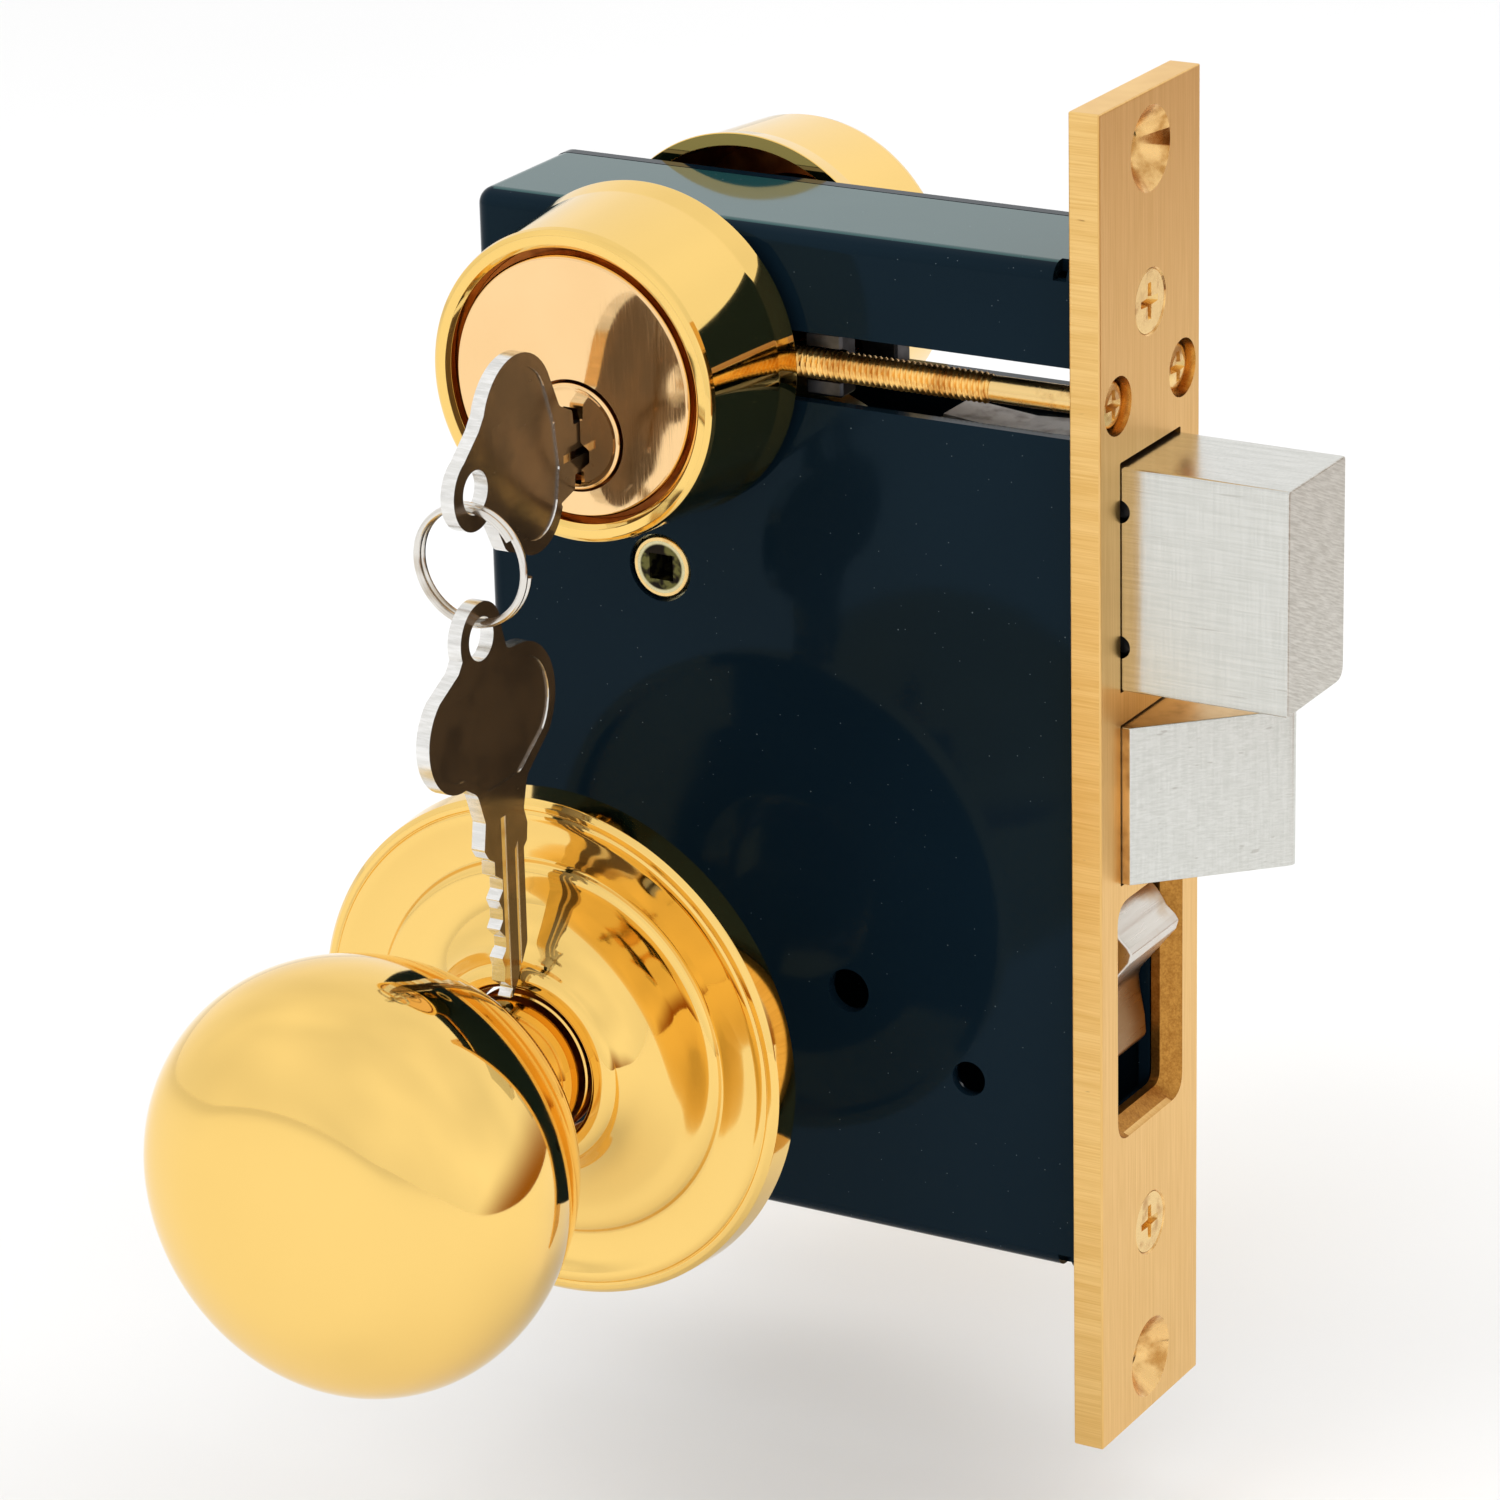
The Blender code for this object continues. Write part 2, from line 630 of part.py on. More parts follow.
def latch_guide():
    guide = block("latch_guide", (-52.0, -49.6), (-10.4, 10.4), (-8.5, 5.3), bare_steel())
    soften(guide, 0.3)
    cut(guide, peg("t_latch_guide", 3.3, "X", (0, ROD_Z), -54, -47, 18))
    return guide


def coil(name, radius, wire, axis, centre, low, high, turns, material, steps=11, sides=5):
    """A closed helical wire."""
    count = int(turns * steps)
    points = []
    faces = []
    for i in range(count + 1):
        angle = 2 * math.pi * i / steps
        along = low + wire + (high - low - 2 * wire) * i / count
        for k in range(sides):
            turn = 2 * math.pi * k / sides
            reach = radius + wire * math.cos(turn)
            a = centre[0] + reach * math.cos(angle)
            b = centre[1] + reach * math.sin(angle)
            points.append(keyed(a, b, along + wire * math.sin(turn), axis))
    for i in range(count):
        for k in range(sides):
            j = (k + 1) % sides
            faces.append((i * sides + k, i * sides + j, (i + 1) * sides + j, (i + 1) * sides + k))
    faces.append(tuple(range(sides)))
    faces.append(tuple(range(count * sides + sides - 1, count * sides - 1, -1)))
    return solid(name, points, faces, material, smooth=50)


# ---------------------------------------------------------------- hubs, spindles, knobs and rosettes


def knob_hub(name, side):
    """One of the two hubs: a journal in the case side, a flange and a wing at the middle."""
    centre = (AXIS_X, KNOB_Z)
    origin = (AXIS_X, 0, KNOB_Z)
    profile = [(0, 0.3), (9.0, 0.3), (9.0, 4.0), (12.0, 4.0), (12.0, 9.0), (9.9, 9.0), (9.9, 12.3), (0, 12.3)]
    profile = [(radius, side * y) for radius, y in profile]
    hub = turning(name, profile, "Y", centre, 32, brass_insides(), origin)
    lean = math.asin(LATCH_THROW / 2 / WING_ARM)
    along = Vector((math.sin(lean), math.cos(lean)))
    across = Vector((along.y, -along.x))
    tip = Vector(centre) + along * WING_ARM
    start = Vector(centre)
    heading = math.degrees(math.atan2(along.y, along.x))
    wing = [tuple(start - across * 5.0), tuple(start + across * 5.0)]
    wing += arc(tuple(tip), 2.5, heading - 90, heading + 90, 8)
    y = sorted((side * 0.3, side * 2.6))
    join(hub, prism(f"t_{name}_wing", wing, "Y", *y, origin=origin))
    half = 4.25
    square = [(-half, -half), (half, -half), (half, half), (-half, half)]
    square = [(AXIS_X + a, KNOB_Z + b) for a, b in square]
    cut(hub, prism(f"t_{name}_square", square, "Y", -14, 14))
    return hub


def spindle(name, side):
    half = 3.95
    outline = [(-half, -half), (half, -half), (half, half), (-half, half)]
    outline = [(AXIS_X + a, KNOB_Z + b) for a, b in outline]
    y = sorted((side * 0.3, side * 92.0))
    bar = prism(name, outline, "Y", *y, bare_steel(), (AXIS_X, 0, KNOB_Z))
    soften(bar, 0.5)
    return bar


def rosette(name, side):
    """A dished rose with a deep rim and a flared boss round the knob's neck."""
    profile = [
        (39.0, ROSE_BACK), (39.0, 45.4), (38.3, 48.2), (36.6, ROSE_FRONT), (33.0, 47.9), (27.0, 47.2), (20.6, 48.0),
        (16.6, 50.8), (15.0, 54.4), (14.2, BOSS_FRONT), (12.9, BOSS_FRONT), (12.4, 56.4), (12.4, 52.4), (11.7, 51.8),
        (11.7, 50.2), (15.0, 47.0), (27.0, 45.4), (36.4, 46.8), (37.2, ROSE_BACK),
    ]
    profile = [(radius, side * y) for radius, y in profile]
    return turning(name, profile, "Y", (AXIS_X, KNOB_Z), 38, polished_brass())


def knob(name, side):
    """The hollow knob and its neck, turned in one piece, with a square hole for the spindle."""
    profile = [
        (0, 49.6), (10.2, 49.6), (10.2, 51.6), (11.3, 52.4), (11.3, 65.6), (12.0, 67.4), (15.0, 70.4), (20.5, 73.4),
        (26.0, 79.0), (30.2, 87.0), (32.0, 97.0), (30.6, 105.6), (26.0, 112.4), (18.0, 116.7), (9.0, 118.3),
        (0, KNOB_FRONT),
    ]
    profile = [(radius, side * y) for radius, y in profile]
    origin = (AXIS_X, 0, KNOB_Z)
    made = turning(name, profile, "Y", (AXIS_X, KNOB_Z), 38, polished_brass(), origin)
    half = 4.25
    square = [(-half, -half), (half, -half), (half, half), (-half, half)]
    square = [(AXIS_X + a, KNOB_Z + b) for a, b in square]
    y = sorted((side * 40.0, side * 94.0))
    cut(made, prism(f"t_{name}_square", square, "Y", *y))
    cut(made, peg(f"t_{name}_tap", 2.1, "Z", (AXIS_X, side * 61.0), KNOB_Z + 2.0, KNOB_Z + 14.0, 14))
    return made


def knob_screw(name, side):
    profile = [(0, KNOB_Z + 4.4), (1.8, KNOB_Z + 4.4), (1.8, KNOB_Z + 10.6), (0, KNOB_Z + 10.6)]
    screw = turning(name, profile, "Z", (AXIS_X, side * 61.0), 14, dark_steel())
    y = (side * 61.0 - 3, side * 61.0 + 3)
    cut(screw, block(f"t_{name}", (AXIS_X - 0.4, AXIS_X + 0.4), y, (KNOB_Z + 9.6, KNOB_Z + 12)))
    return screw


# ---------------------------------------------------------------- stop works


def stop_rocker():
    """The rocker: its upper lobe stands out of the window, and its lower end lies inside."""
    origin = (ROCKER_X, 0, ROCKER_Z)
    outline = arc((-9.5, -26.9), 9.2, 100, 25, 5)
    outline += [(0.3, -24.3), (0.9, -25.2), (0.5, -26.6), (-5.6, -34.2), (-5.4, -37.0), (-4.6, -41.4), (-4.4, -44.6)]
    outline += [(-6.4, -46.2), (-8.4, -44.4), (-9.6, -39.6), (-12.6, -35.4), (-13.8, -28.4), (-12.7, -25.6)]
    rocker = prism("stop_rocker", outline, "Y", -7.8, 7.8, nickel(), origin)
    soften(rocker, 0.35, 35)
    cut(rocker, peg("t_rocker_bore", 1.8, "Y", (ROCKER_X, ROCKER_Z), -10, 10, 16))
    cut(rocker, block("t_rocker_back", (-16.5, -9.8), (-12, -2.9), (-24.8, -15.0)))
    return rocker


def stop_slide():
    """The bar that the rocker's back pushes towards the outer hub."""
    outline = [
        (-14.2, -29.2), (-14.2, -25.2), (-54.0, -25.2), (-56.0, -27.0), (-60.4, -27.0), (-60.4, -31.0), (-54.0, -31.0),
        (-52.0, -29.2),
    ]
    return prism("stop_slide", outline, "Y", -8.4, -5.2, bare_steel())


def stop_click_spring():
    """A bent strip behind the rocker's lower end."""
    outline = [
        (-12.0, -52.0), (-8.0, -52.0), (-8.0, -51.4), (-11.3, -51.2), (-12.6, -46.0), (-11.2, -41.6), (-11.8, -41.3),
        (-13.3, -46.0),
    ]
    return prism("stop_click_spring", outline, "Y", -3.0, 3.0, spring_steel())


# ---------------------------------------------------------------- keys


def key_blade_outline(start, end, sign_a):
    """The bitted edge and the plain edge of a blade lying along the first coordinate."""
    length = end - start
    cuts = (0.0, 0.10, 0.16, 0.24, 0.30, 0.38, 0.46, 0.52, 0.60, 0.68, 0.74, 0.82, 0.92, 1.0)
    depth = (0.0, 0.0, 1.9, 1.9, 0.7, 1.6, 1.6, 0.6, 2.3, 2.3, 1.0, 1.7, 1.4, 3.6)
    return [(start + length * t, sign_a * (3.9 - d)) for t, d in zip(cuts, depth)]


def key_in_plug():
    """The first key: its blade is in the plug and its bow stands out in front."""
    origin = (AXIS_X, 0, PLUG_Z)
    top = []
    for y, z in key_blade_outline(-37.0, -13.0, 1):
        top.append((y, PLUG_Z - 1.2 + min(z, 3.4)))
    outline = top + [(-13.4, PLUG_Z - 3.2), (-15.6, PLUG_Z - 5.2), (-37.0, PLUG_Z - 5.2), (-37.2, PLUG_Z - 7.4)]
    outline += [(-41.0, PLUG_Z - 8.4)]
    outline += arc((-47.6, PLUG_Z - 6.4), 7.4, -20, -105, 6)
    outline += [(-56.0, PLUG_Z - 11.0), (-58.4, PLUG_Z - 6.6)]
    outline += arc((RING_Y, HOLE_Z), 5.6, -62, -242, 10)
    outline += [(-62.0, PLUG_Z + 8.2)]
    outline += arc((-51.6, PLUG_Z + 7.2), 9.4, 162, 30, 8)
    outline += [(-40.6, PLUG_Z + 6.0), (-37.3, PLUG_Z + 4.4)]
    key = prism("key_in_plug", outline, "X", KEY_X - KEY_HALF, KEY_X + KEY_HALF, nickel(), origin)
    cut(key, peg("t_key_hole", HOLE_RADIUS, "X", (RING_Y, HOLE_Z), KEY_X - 4, KEY_X + 4, 24))
    return key


def split_ring():
    """A wire ring of two turns, linking both keys' holes."""
    steps = 26
    sides = 6
    turns = 1.9
    count = int(turns * steps)
    points = []
    faces = []
    for i in range(count + 1):
        angle = 2 * math.pi * i / steps + 0.6
        lift = 1.10 * (2.0 * i / count - 1.0)
        for k in range(sides):
            turn = 2 * math.pi * k / sides
            reach = RING_RADIUS + RING_WIRE * math.cos(turn)
            x = AXIS_X + reach * math.cos(angle)
            z = RING_Z + reach * math.sin(angle)
            points.append((x, RING_Y + lift + RING_WIRE * math.sin(turn), z))
    for i in range(count):
        for k in range(sides):
            j = (k + 1) % sides
            faces.append((i * sides + k, i * sides + j, (i + 1) * sides + j, (i + 1) * sides + k))
    faces.append(tuple(range(sides)))
    faces.append(tuple(range(count * sides + sides - 1, count * sides - 1, -1)))
    return solid("split_ring", points, faces, nickel(), (AXIS_X, RING_Y, RING_Z), 60)


def hanging_key():
    """The second key hangs on the ring by its hole, blade down."""
    y0 = RING_Y
    z0 = HANG_Z
    origin = (AXIS_X, y0, RING_Z - RING_RADIUS)
    outline = arc((y0, z0), 5.4, 200, 0, 10)
    outline += [(y0 + 7.6, z0 - 4.6), (y0 + 13.6, z0 - 6.0)]
    outline += arc((y0 + 10.8, z0 - 14.6), 8.4, 60, -40, 6)
    outline += [(y0 + 10.6, z0 - 25.0), (y0 + 9.4, z0 - 28.6), (y0 + 10.2, z0 - 31.0), (y0 + 9.9, z0 - 33.6)]
    outline += [(y0 + 9.0, z0 - 34.4), (y0 + 9.0, z0 - 49.0), (y0 + 6.1, z0 - 54.0), (y0 + 4.6, z0 - 56.0)]
    outline += [(y0 + 3.6, z0 - 56.0)]
    bits = key_blade_outline(z0 - 34.0, z0 - 54.6, -1)
    outline += [(y0 + 5.0 + a, z) for z, a in reversed(bits)]
    outline += [(y0 - 0.4, z0 - 33.0), (y0 - 2.2, z0 - 31.6), (y0 - 1.8, z0 - 28.4), (y0 - 5.6, z0 - 25.6)]
    outline += arc((y0 - 5.4, z0 - 16.4), 9.2, 260, 150, 8)
    outline += [(y0 - 7.2, z0 - 6.4)]
    key = prism("hanging_key", outline, "X", KEY_X - KEY_HALF, KEY_X + KEY_HALF, nickel(), origin)
    cut(key, peg("t_hanging_hole", HOLE_RADIUS, "X", (y0, z0), KEY_X - 4, KEY_X + 4, 24))
    return key


def build():
    clear_scene()
    faceplate()
    armour_screw("armour_screw_top", ARMOUR_SCREW_Z)
    armour_screw("armour_screw_low", -ARMOUR_SCREW_Z)
    faceplate_lug("faceplate_lug_top", ARMOUR_SCREW_Z)
    faceplate_lug("faceplate_lug_low", -ARMOUR_SCREW_Z)
    case_pan()
    case_cover()
    case_posts()
    for tag, side in (("outer", -1), ("inner", 1)):
        set_screw(f"set_screw_{tag}", side)
        set_screw_lug(f"set_screw_lug_{tag}", side)
        collar(f"collar_{tag}", side)
        cylinder_body(f"cylinder_{tag}", side)
        plug(f"plug_{tag}", side)
        cam(f"cam_{tag}", side)
        cam_screw(f"cam_screw_{tag}", side)
        knob_hub(f"hub_{tag}", side)
        spindle(f"spindle_{tag}", side)
        rosette(f"rosette_{tag}", side)
        knob(f"knob_{tag}", side)
        knob_screw(f"knob_screw_{tag}", side)
    deadbolt()
    bolt_tail()
    thumb_hub()
    drag_spring()
    latch_head()
    latch_tail()
    latch_guide()
    coil("latch_spring", 4.6, 0.5, "X", (0, ROD_Z), -49.3, LATCH_REAR - GAP, 8, spring_steel())
    stop_rocker()
    peg("rocker_pin", 1.5, "Y", (ROCKER_X, ROCKER_Z), -10.4, 10.4, 14, bare_steel())
    stop_slide()
    stop_click_spring()
    key_in_plug()
    split_ring()
    hanging_key()


build()
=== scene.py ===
"""The looks of the mortise lock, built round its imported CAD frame."""
import math

import bmesh
import bpy
from mathutils import Matrix, Vector


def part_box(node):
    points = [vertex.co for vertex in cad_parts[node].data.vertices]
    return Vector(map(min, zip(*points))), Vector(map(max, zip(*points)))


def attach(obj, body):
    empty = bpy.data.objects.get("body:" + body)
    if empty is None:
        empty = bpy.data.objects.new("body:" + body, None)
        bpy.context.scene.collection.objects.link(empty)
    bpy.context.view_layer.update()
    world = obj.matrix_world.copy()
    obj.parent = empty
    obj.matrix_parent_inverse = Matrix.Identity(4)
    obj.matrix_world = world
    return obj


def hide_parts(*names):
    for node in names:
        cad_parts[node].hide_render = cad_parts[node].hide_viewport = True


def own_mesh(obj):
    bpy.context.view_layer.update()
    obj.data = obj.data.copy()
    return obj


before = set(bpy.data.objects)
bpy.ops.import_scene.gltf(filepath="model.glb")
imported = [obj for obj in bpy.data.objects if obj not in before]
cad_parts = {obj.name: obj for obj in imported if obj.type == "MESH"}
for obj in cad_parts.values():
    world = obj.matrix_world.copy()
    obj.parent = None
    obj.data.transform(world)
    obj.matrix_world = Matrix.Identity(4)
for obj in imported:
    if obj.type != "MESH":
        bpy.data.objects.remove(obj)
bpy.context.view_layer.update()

MM = 0.001

# ---------------------------------------------------------------- camera, lamps and floor

CAMERA_SIDE = 30.17
CAMERA_HEIGHT = 20.48
CAMERA_ROLL = -1.40
CAMERA_DISTANCE = 913.9
CAMERA_TARGET = (-66.75, 0.0, -7.23)
CAMERA_LENS = 146.3


def heading(side, height):
    """The unit direction from the lock towards a point at these angles, in degrees."""
    side = math.radians(side)
    height = math.radians(height)
    flat = math.cos(height)
    return Vector((math.sin(side) * flat, -math.cos(side) * flat, math.sin(height)))


def turned_towards(back, roll=0.0):
    """The turn that points local +Z along back, with local +X level before the roll."""
    right = Vector((-back.y, back.x, 0.0)).normalized()
    up = back.cross(right)
    turn = math.radians(roll)
    across = right * math.cos(turn) + up * math.sin(turn)
    above = up * math.cos(turn) - right * math.sin(turn)
    return Matrix((across, above, back)).transposed().to_4x4()


def camera():
    data = bpy.data.cameras.new("camera")
    data.lens = CAMERA_LENS
    data.sensor_width = 36.0
    data.clip_start = 0.01
    data.clip_end = 50.0
    data.dof.use_dof = False
    made = bpy.data.objects.new("camera", data)
    back = heading(CAMERA_SIDE, CAMERA_HEIGHT)
    place = (Vector(CAMERA_TARGET) + back * CAMERA_DISTANCE) * MM
    made.matrix_world = Matrix.Translation(place) @ turned_towards(back, CAMERA_ROLL)
    bpy.context.scene.collection.objects.link(made)
    bpy.context.scene.camera = made


camera()


def soft_lamp(name, side, height, distance, size, watts, tint=(1.0, 1.0, 1.0)):
    """A square softbox, in metres, aimed at the middle of the lock."""
    data = bpy.data.lights.new(name, "AREA")
    data.shape = "RECTANGLE"
    data.size = size[0]
    data.size_y = size[1]
    data.energy = watts
    data.color = tint
    back = heading(side, height)
    made = bpy.data.objects.new(name, data)
    made.visible_glossy = False
    place = Vector((-0.06, 0.0, 0.0)) + back * distance
    made.matrix_world = Matrix.Translation(place) @ turned_towards(back)
    bpy.context.scene.collection.objects.link(made)


# ---------------------------------------------------------------- finishes


class Value:
    """A number or colour that varies over a surface. Sums on numbers add Math nodes."""

    def __init__(self, finish, socket):
        self.finish = finish
        self.socket = socket

    def _sum(self, operation, first, second):
        return self.finish.node("ShaderNodeMath", {"operation": operation}, {0: first, 1: second})

    def __add__(self, other):
        return self._sum("ADD", self, other)

    __radd__ = __add__

    def __sub__(self, other):
        return self._sum("SUBTRACT", self, other)

    def __rsub__(self, other):
        return self._sum("SUBTRACT", other, self)

    def __mul__(self, other):
        return self._sum("MULTIPLY", self, other)

    __rmul__ = __mul__

    def at_most(self, other):
        return self._sum("MINIMUM", self, other)


class Finish:
    """One material and its nodes."""

    def __init__(self, name, metallic=0.0, roughness=0.5, **fixed):
        self.material = bpy.data.materials.new(name)
        self.material.use_nodes = True
        self.tree = self.material.node_tree
        self.shader = self.tree.nodes["Principled BSDF"]
        self.shader.inputs["Metallic"].default_value = metallic
        self.shader.inputs["Roughness"].default_value = roughness
        for key, value in fixed.items():
            self.shader.inputs[key.replace("_", " ").title().replace("Ior", "IOR")].default_value = value
        self.place = self.node("ShaderNodeTexCoord", output="Object")

    def node(self, kind, settings=None, inputs=None, output=0):
        """Adds a node: settings first, then the values or links of its sockets."""
        made = self.tree.nodes.new(kind)
        for key, value in (settings or {}).items():
            setattr(made, key, value)
        for key, value in (inputs or {}).items():
            socket = made.inputs[key]
            if isinstance(value, Value):
                self.tree.links.new(value.socket, socket)
            else:
                socket.default_value = value
        return Value(self, made.outputs[output])

    def feed(self, socket, value):
        self.tree.links.new(value.socket, self.shader.inputs[socket])

    def stretched(self, scale):
        """The rest-frame place with each axis scaled, so that grain runs along the smallest."""
        return self.node("ShaderNodeVectorMath", {"operation": "MULTIPLY"}, {0: self.place, 1: scale})

    def noise(self, scale, detail=3.0, roughness=0.55, place=None):
        values = {"Vector": place or self.place, "Scale": scale, "Detail": detail, "Roughness": roughness}
        return self.node("ShaderNodeTexNoise", None, values)

    def ramped(self, value, low, high, start=0.0, end=1.0):
        """A smooth step from start to end as value goes from low to high."""
        settings = {"interpolation_type": "SMOOTHSTEP"}
        values = {"Value": value, "From Min": low, "From Max": high, "To Min": start, "To Max": end}
        return self.node("ShaderNodeMapRange", settings, values)

    def blended(self, share, first, second):
        """A colour between two."""
        settings = {"data_type": "RGBA", "blend_type": "MIX"}
        return self.node("ShaderNodeMix", settings, {0: share, 6: first, 7: second}, output=2)

    def bumps(self, height, depth, strength=1.0, under=None):
        """Surface relief; depth is in millimetres."""
        values = {"Height": height, "Distance": depth * MM, "Strength": strength}
        if under:
            values["Normal"] = under
        return self.node("ShaderNodeBump", None, values)


def colour(red, green, blue):
    return (red, green, blue, 1.0)


def specks(finish, scale, share, seed):
    """A mask of small scattered dots."""
    moved = finish.node("ShaderNodeVectorMath", {"operation": "ADD"}, {0: finish.place, 1: (seed, seed * 0.7, seed * 1.3)})
    values = {"Vector": moved, "Scale": scale, "Randomness": 1.0}
    dots = finish.node("ShaderNodeTexVoronoi", {"feature": "F1"}, values)
    return finish.ramped(dots, share, share * 0.55)


def brushed_brass():
    """The faceplate's face: fine upright brushing, with faint blotches."""
    made = Finish("brushed_brass", metallic=1.0)
    fine = made.noise(1.0, 2.0, 0.6, made.stretched((300.0, 5200.0, 90.0)))
    long = made.noise(1.0, 2.0, 0.5, made.stretched((200.0, 1700.0, 14.0)))
    cloud = made.noise(38.0, 3.0)
    grain = fine * 0.6 + long * 0.4
    warm = made.blended(cloud, colour(0.70, 0.405, 0.115), colour(0.80, 0.49, 0.16))
    made.feed("Base Color", made.blended(made.ramped(grain, 0.32, 0.70), warm, colour(0.86, 0.56, 0.22)))
    made.feed("Roughness", 0.25 + grain * 0.16 + cloud * 0.05)
    made.feed("Normal", made.bumps(grain, 0.012, 0.7))
    return made.material


def sawn_brass():
    """The faceplate's edges: level saw lines with a few dark nicks."""
    made = Finish("sawn_brass", metallic=1.0)
    fine = made.noise(1.0, 3.0, 0.65, made.stretched((60.0, 60.0, 3600.0)))
    wide = made.noise(1.0, 2.0, 0.5, made.stretched((30.0, 30.0, 700.0)))
    nicks = made.ramped(made.noise(1.0, 2.0, 0.5, made.stretched((170.0, 60.0, 900.0))), 0.70, 0.78)
    lines = fine * 0.65 + wide * 0.35
    warm = made.blended(made.ramped(lines, 0.3, 0.7), colour(0.76, 0.45, 0.13), colour(0.93, 0.63, 0.25))
    made.feed("Base Color", made.blended(nicks, warm, colour(0.30, 0.15, 0.05)))
    made.feed("Roughness", 0.30 + lines * 0.18)
    made.feed("Normal", made.bumps(lines - nicks * 0.8, 0.03, 0.8))
    return made.material


def cast_brass():
    """The walls of the faceplate's cut-outs: a coarse, sparkling cast skin."""
    made = Finish("cast_brass", metallic=1.0)
    grain = made.noise(2600.0, 4.0, 0.7)
    pits = made.noise(900.0, 2.0, 0.5)
    rough = grain * 0.6 + pits * 0.4
    made.feed("Base Color", made.blended(made.ramped(rough, 0.30, 0.72), colour(0.34, 0.14, 0.024), colour(0.60, 0.30, 0.065)))
    made.feed("Roughness", 0.30 + pits * 0.25)
    made.feed("Normal", made.bumps(rough, 0.05, 0.8))
    return made.material


def drilled_brass():
    """The countersinks: a drill's rings, a little brown in the bottom."""
    made = Finish("drilled_brass", metallic=1.0)
    grain = made.noise(1100.0, 3.0, 0.6)
    stain = made.ramped(made.noise(260.0, 3.0), 0.40, 0.66)
    made.feed("Base Color", made.blended(stain, colour(0.86, 0.55, 0.22), colour(0.52, 0.26, 0.07)))
    made.feed("Roughness", 0.20 + grain * 0.14)
    made.feed("Normal", made.bumps(grain, 0.012, 0.6))
    return made.material


def mirror_brass(name="mirror_brass", light=(0.93, 0.64, 0.205), deep=(0.88, 0.585, 0.175), rub=0.05):
    """Polished brass: long soft waves, a few hairlines and finger haze."""
    made = Finish(name, metallic=1.0)
    cloud = made.noise(26.0, 3.0, 0.5)
    haze = made.ramped(made.noise(70.0, 4.0, 0.6), 0.45, 0.75)
    hair = made.ramped(made.noise(1.0, 2.0, 0.6, made.stretched((700.0, 700.0, 2600.0))), 0.62, 0.78)
    made.feed("Base Color", made.blended(cloud, colour(*deep), colour(*light)))
    made.feed("Roughness", rub + haze * 0.05 + hair * 0.04)
    made.feed("Normal", made.bumps(cloud * 1.0 + hair * 0.01, 0.02, 0.25))
    return made.material


def face_brass():
    """The cylinders' faces: a rosier brass with fine upright hairlines."""
    made = Finish("face_brass", metallic=1.0)
    hair = made.noise(1.0, 2.0, 0.6, made.stretched((5200.0, 300.0, 160.0)))
    cloud = made.noise(60.0, 3.0)
    made.feed("Base Color", made.blended(cloud, colour(0.88, 0.57, 0.27), colour(0.95, 0.66, 0.34)))
    made.feed("Roughness", 0.05 + made.ramped(hair, 0.4, 0.8) * 0.10 + cloud * 0.03)
    made.feed("Normal", made.bumps(hair, 0.004, 0.35))
    return made.material


def screw_brass():
    """Machined screws: bright turned brass, a little dirt in the hollows."""
    made = Finish("screw_brass", metallic=1.0)
    grain = made.noise(1500.0, 3.0)
    stain = made.ramped(made.noise(260.0, 3.0), 0.5, 0.72)
    made.feed("Base Color", made.blended(stain, colour(0.86, 0.60, 0.25), colour(0.58, 0.33, 0.11)))
    made.feed("Roughness", 0.16 + grain * 0.16 + stain * 0.08)
    made.feed("Normal", made.bumps(grain, 0.02, 0.5))
    return made.material


def satin_nickel():
    """The bolts: pale nickel with two fine directions of scratches."""
    made = Finish("satin_nickel", metallic=1.0)
    along = made.noise(1.0, 3.0, 0.65, made.stretched((120.0, 900.0, 4200.0)))
    up = made.noise(1.0, 2.0, 0.6, made.stretched((3600.0, 900.0, 140.0)))
    cloud = made.noise(55.0, 3.0)
    scratch = made.ramped(made.noise(1.0, 1.0, 0.5, made.stretched((90.0, 600.0, 1500.0))), 0.70, 0.78)
    grain = along * 0.65 + up * 0.35
    pale = made.blended(made.ramped(grain, 0.3, 0.7), colour(0.56, 0.56, 0.52), colour(0.70, 0.70, 0.665))
    made.feed("Base Color", made.blended(scratch * 0.5, pale, colour(0.40, 0.38, 0.34)))
    made.feed("Roughness", 0.13 + grain * 0.12 + cloud * 0.03)
    made.feed("Normal", made.bumps(grain - scratch * 0.4, 0.012, 0.6))
    return made.material


def milled_nickel():
    """The bolt's end: coarser slanting mill lines."""
    made = Finish("milled_nickel", metallic=1.0)
    turned = made.node("ShaderNodeMapping", None, {"Vector": made.place, "Rotation": (math.radians(24.0), 0.0, 0.0)})
    lined = made.node("ShaderNodeVectorMath", {"operation": "MULTIPLY"}, {0: turned, 1: (500.0, 260.0, 3400.0)})
    lines = made.noise(1.0, 3.0, 0.65, lined)
    cloud = made.noise(70.0, 2.0)
    tone = made.blended(made.ramped(lines, 0.3, 0.7), colour(0.46, 0.44, 0.39), colour(0.70, 0.69, 0.64))
    made.feed("Base Color", tone)
    made.feed("Roughness", 0.24 + lines * 0.2 + cloud * 0.04)
    made.feed("Normal", made.bumps(lines, 0.035, 0.8))
    return made.material


def key_painted_reflection():
    """The bows' faces: a painted dark reflection in deep bronze tones, paler in clouds."""
    made = Finish("key_painted_reflection", metallic=0.55, roughness=0.25)
    rub = made.noise(1.0, 3.0, 0.6, made.stretched((800.0, 500.0, 1800.0)))
    stain = made.ramped(made.noise(120.0, 3.0), 0.38, 0.66)
    # Painted reflection: the two dark bronze tones stand for dark surroundings mirrored in the bows' polished faces.
    made.feed("Base Color", made.blended(stain, colour(0.125, 0.072, 0.032), colour(0.080, 0.047, 0.022)))
    made.feed("Roughness", 0.15 + made.ramped(rub, 0.4, 0.8) * 0.10 + stain * 0.04)
    made.feed("Normal", made.bumps(rub, 0.004, 0.4))
    return made.material


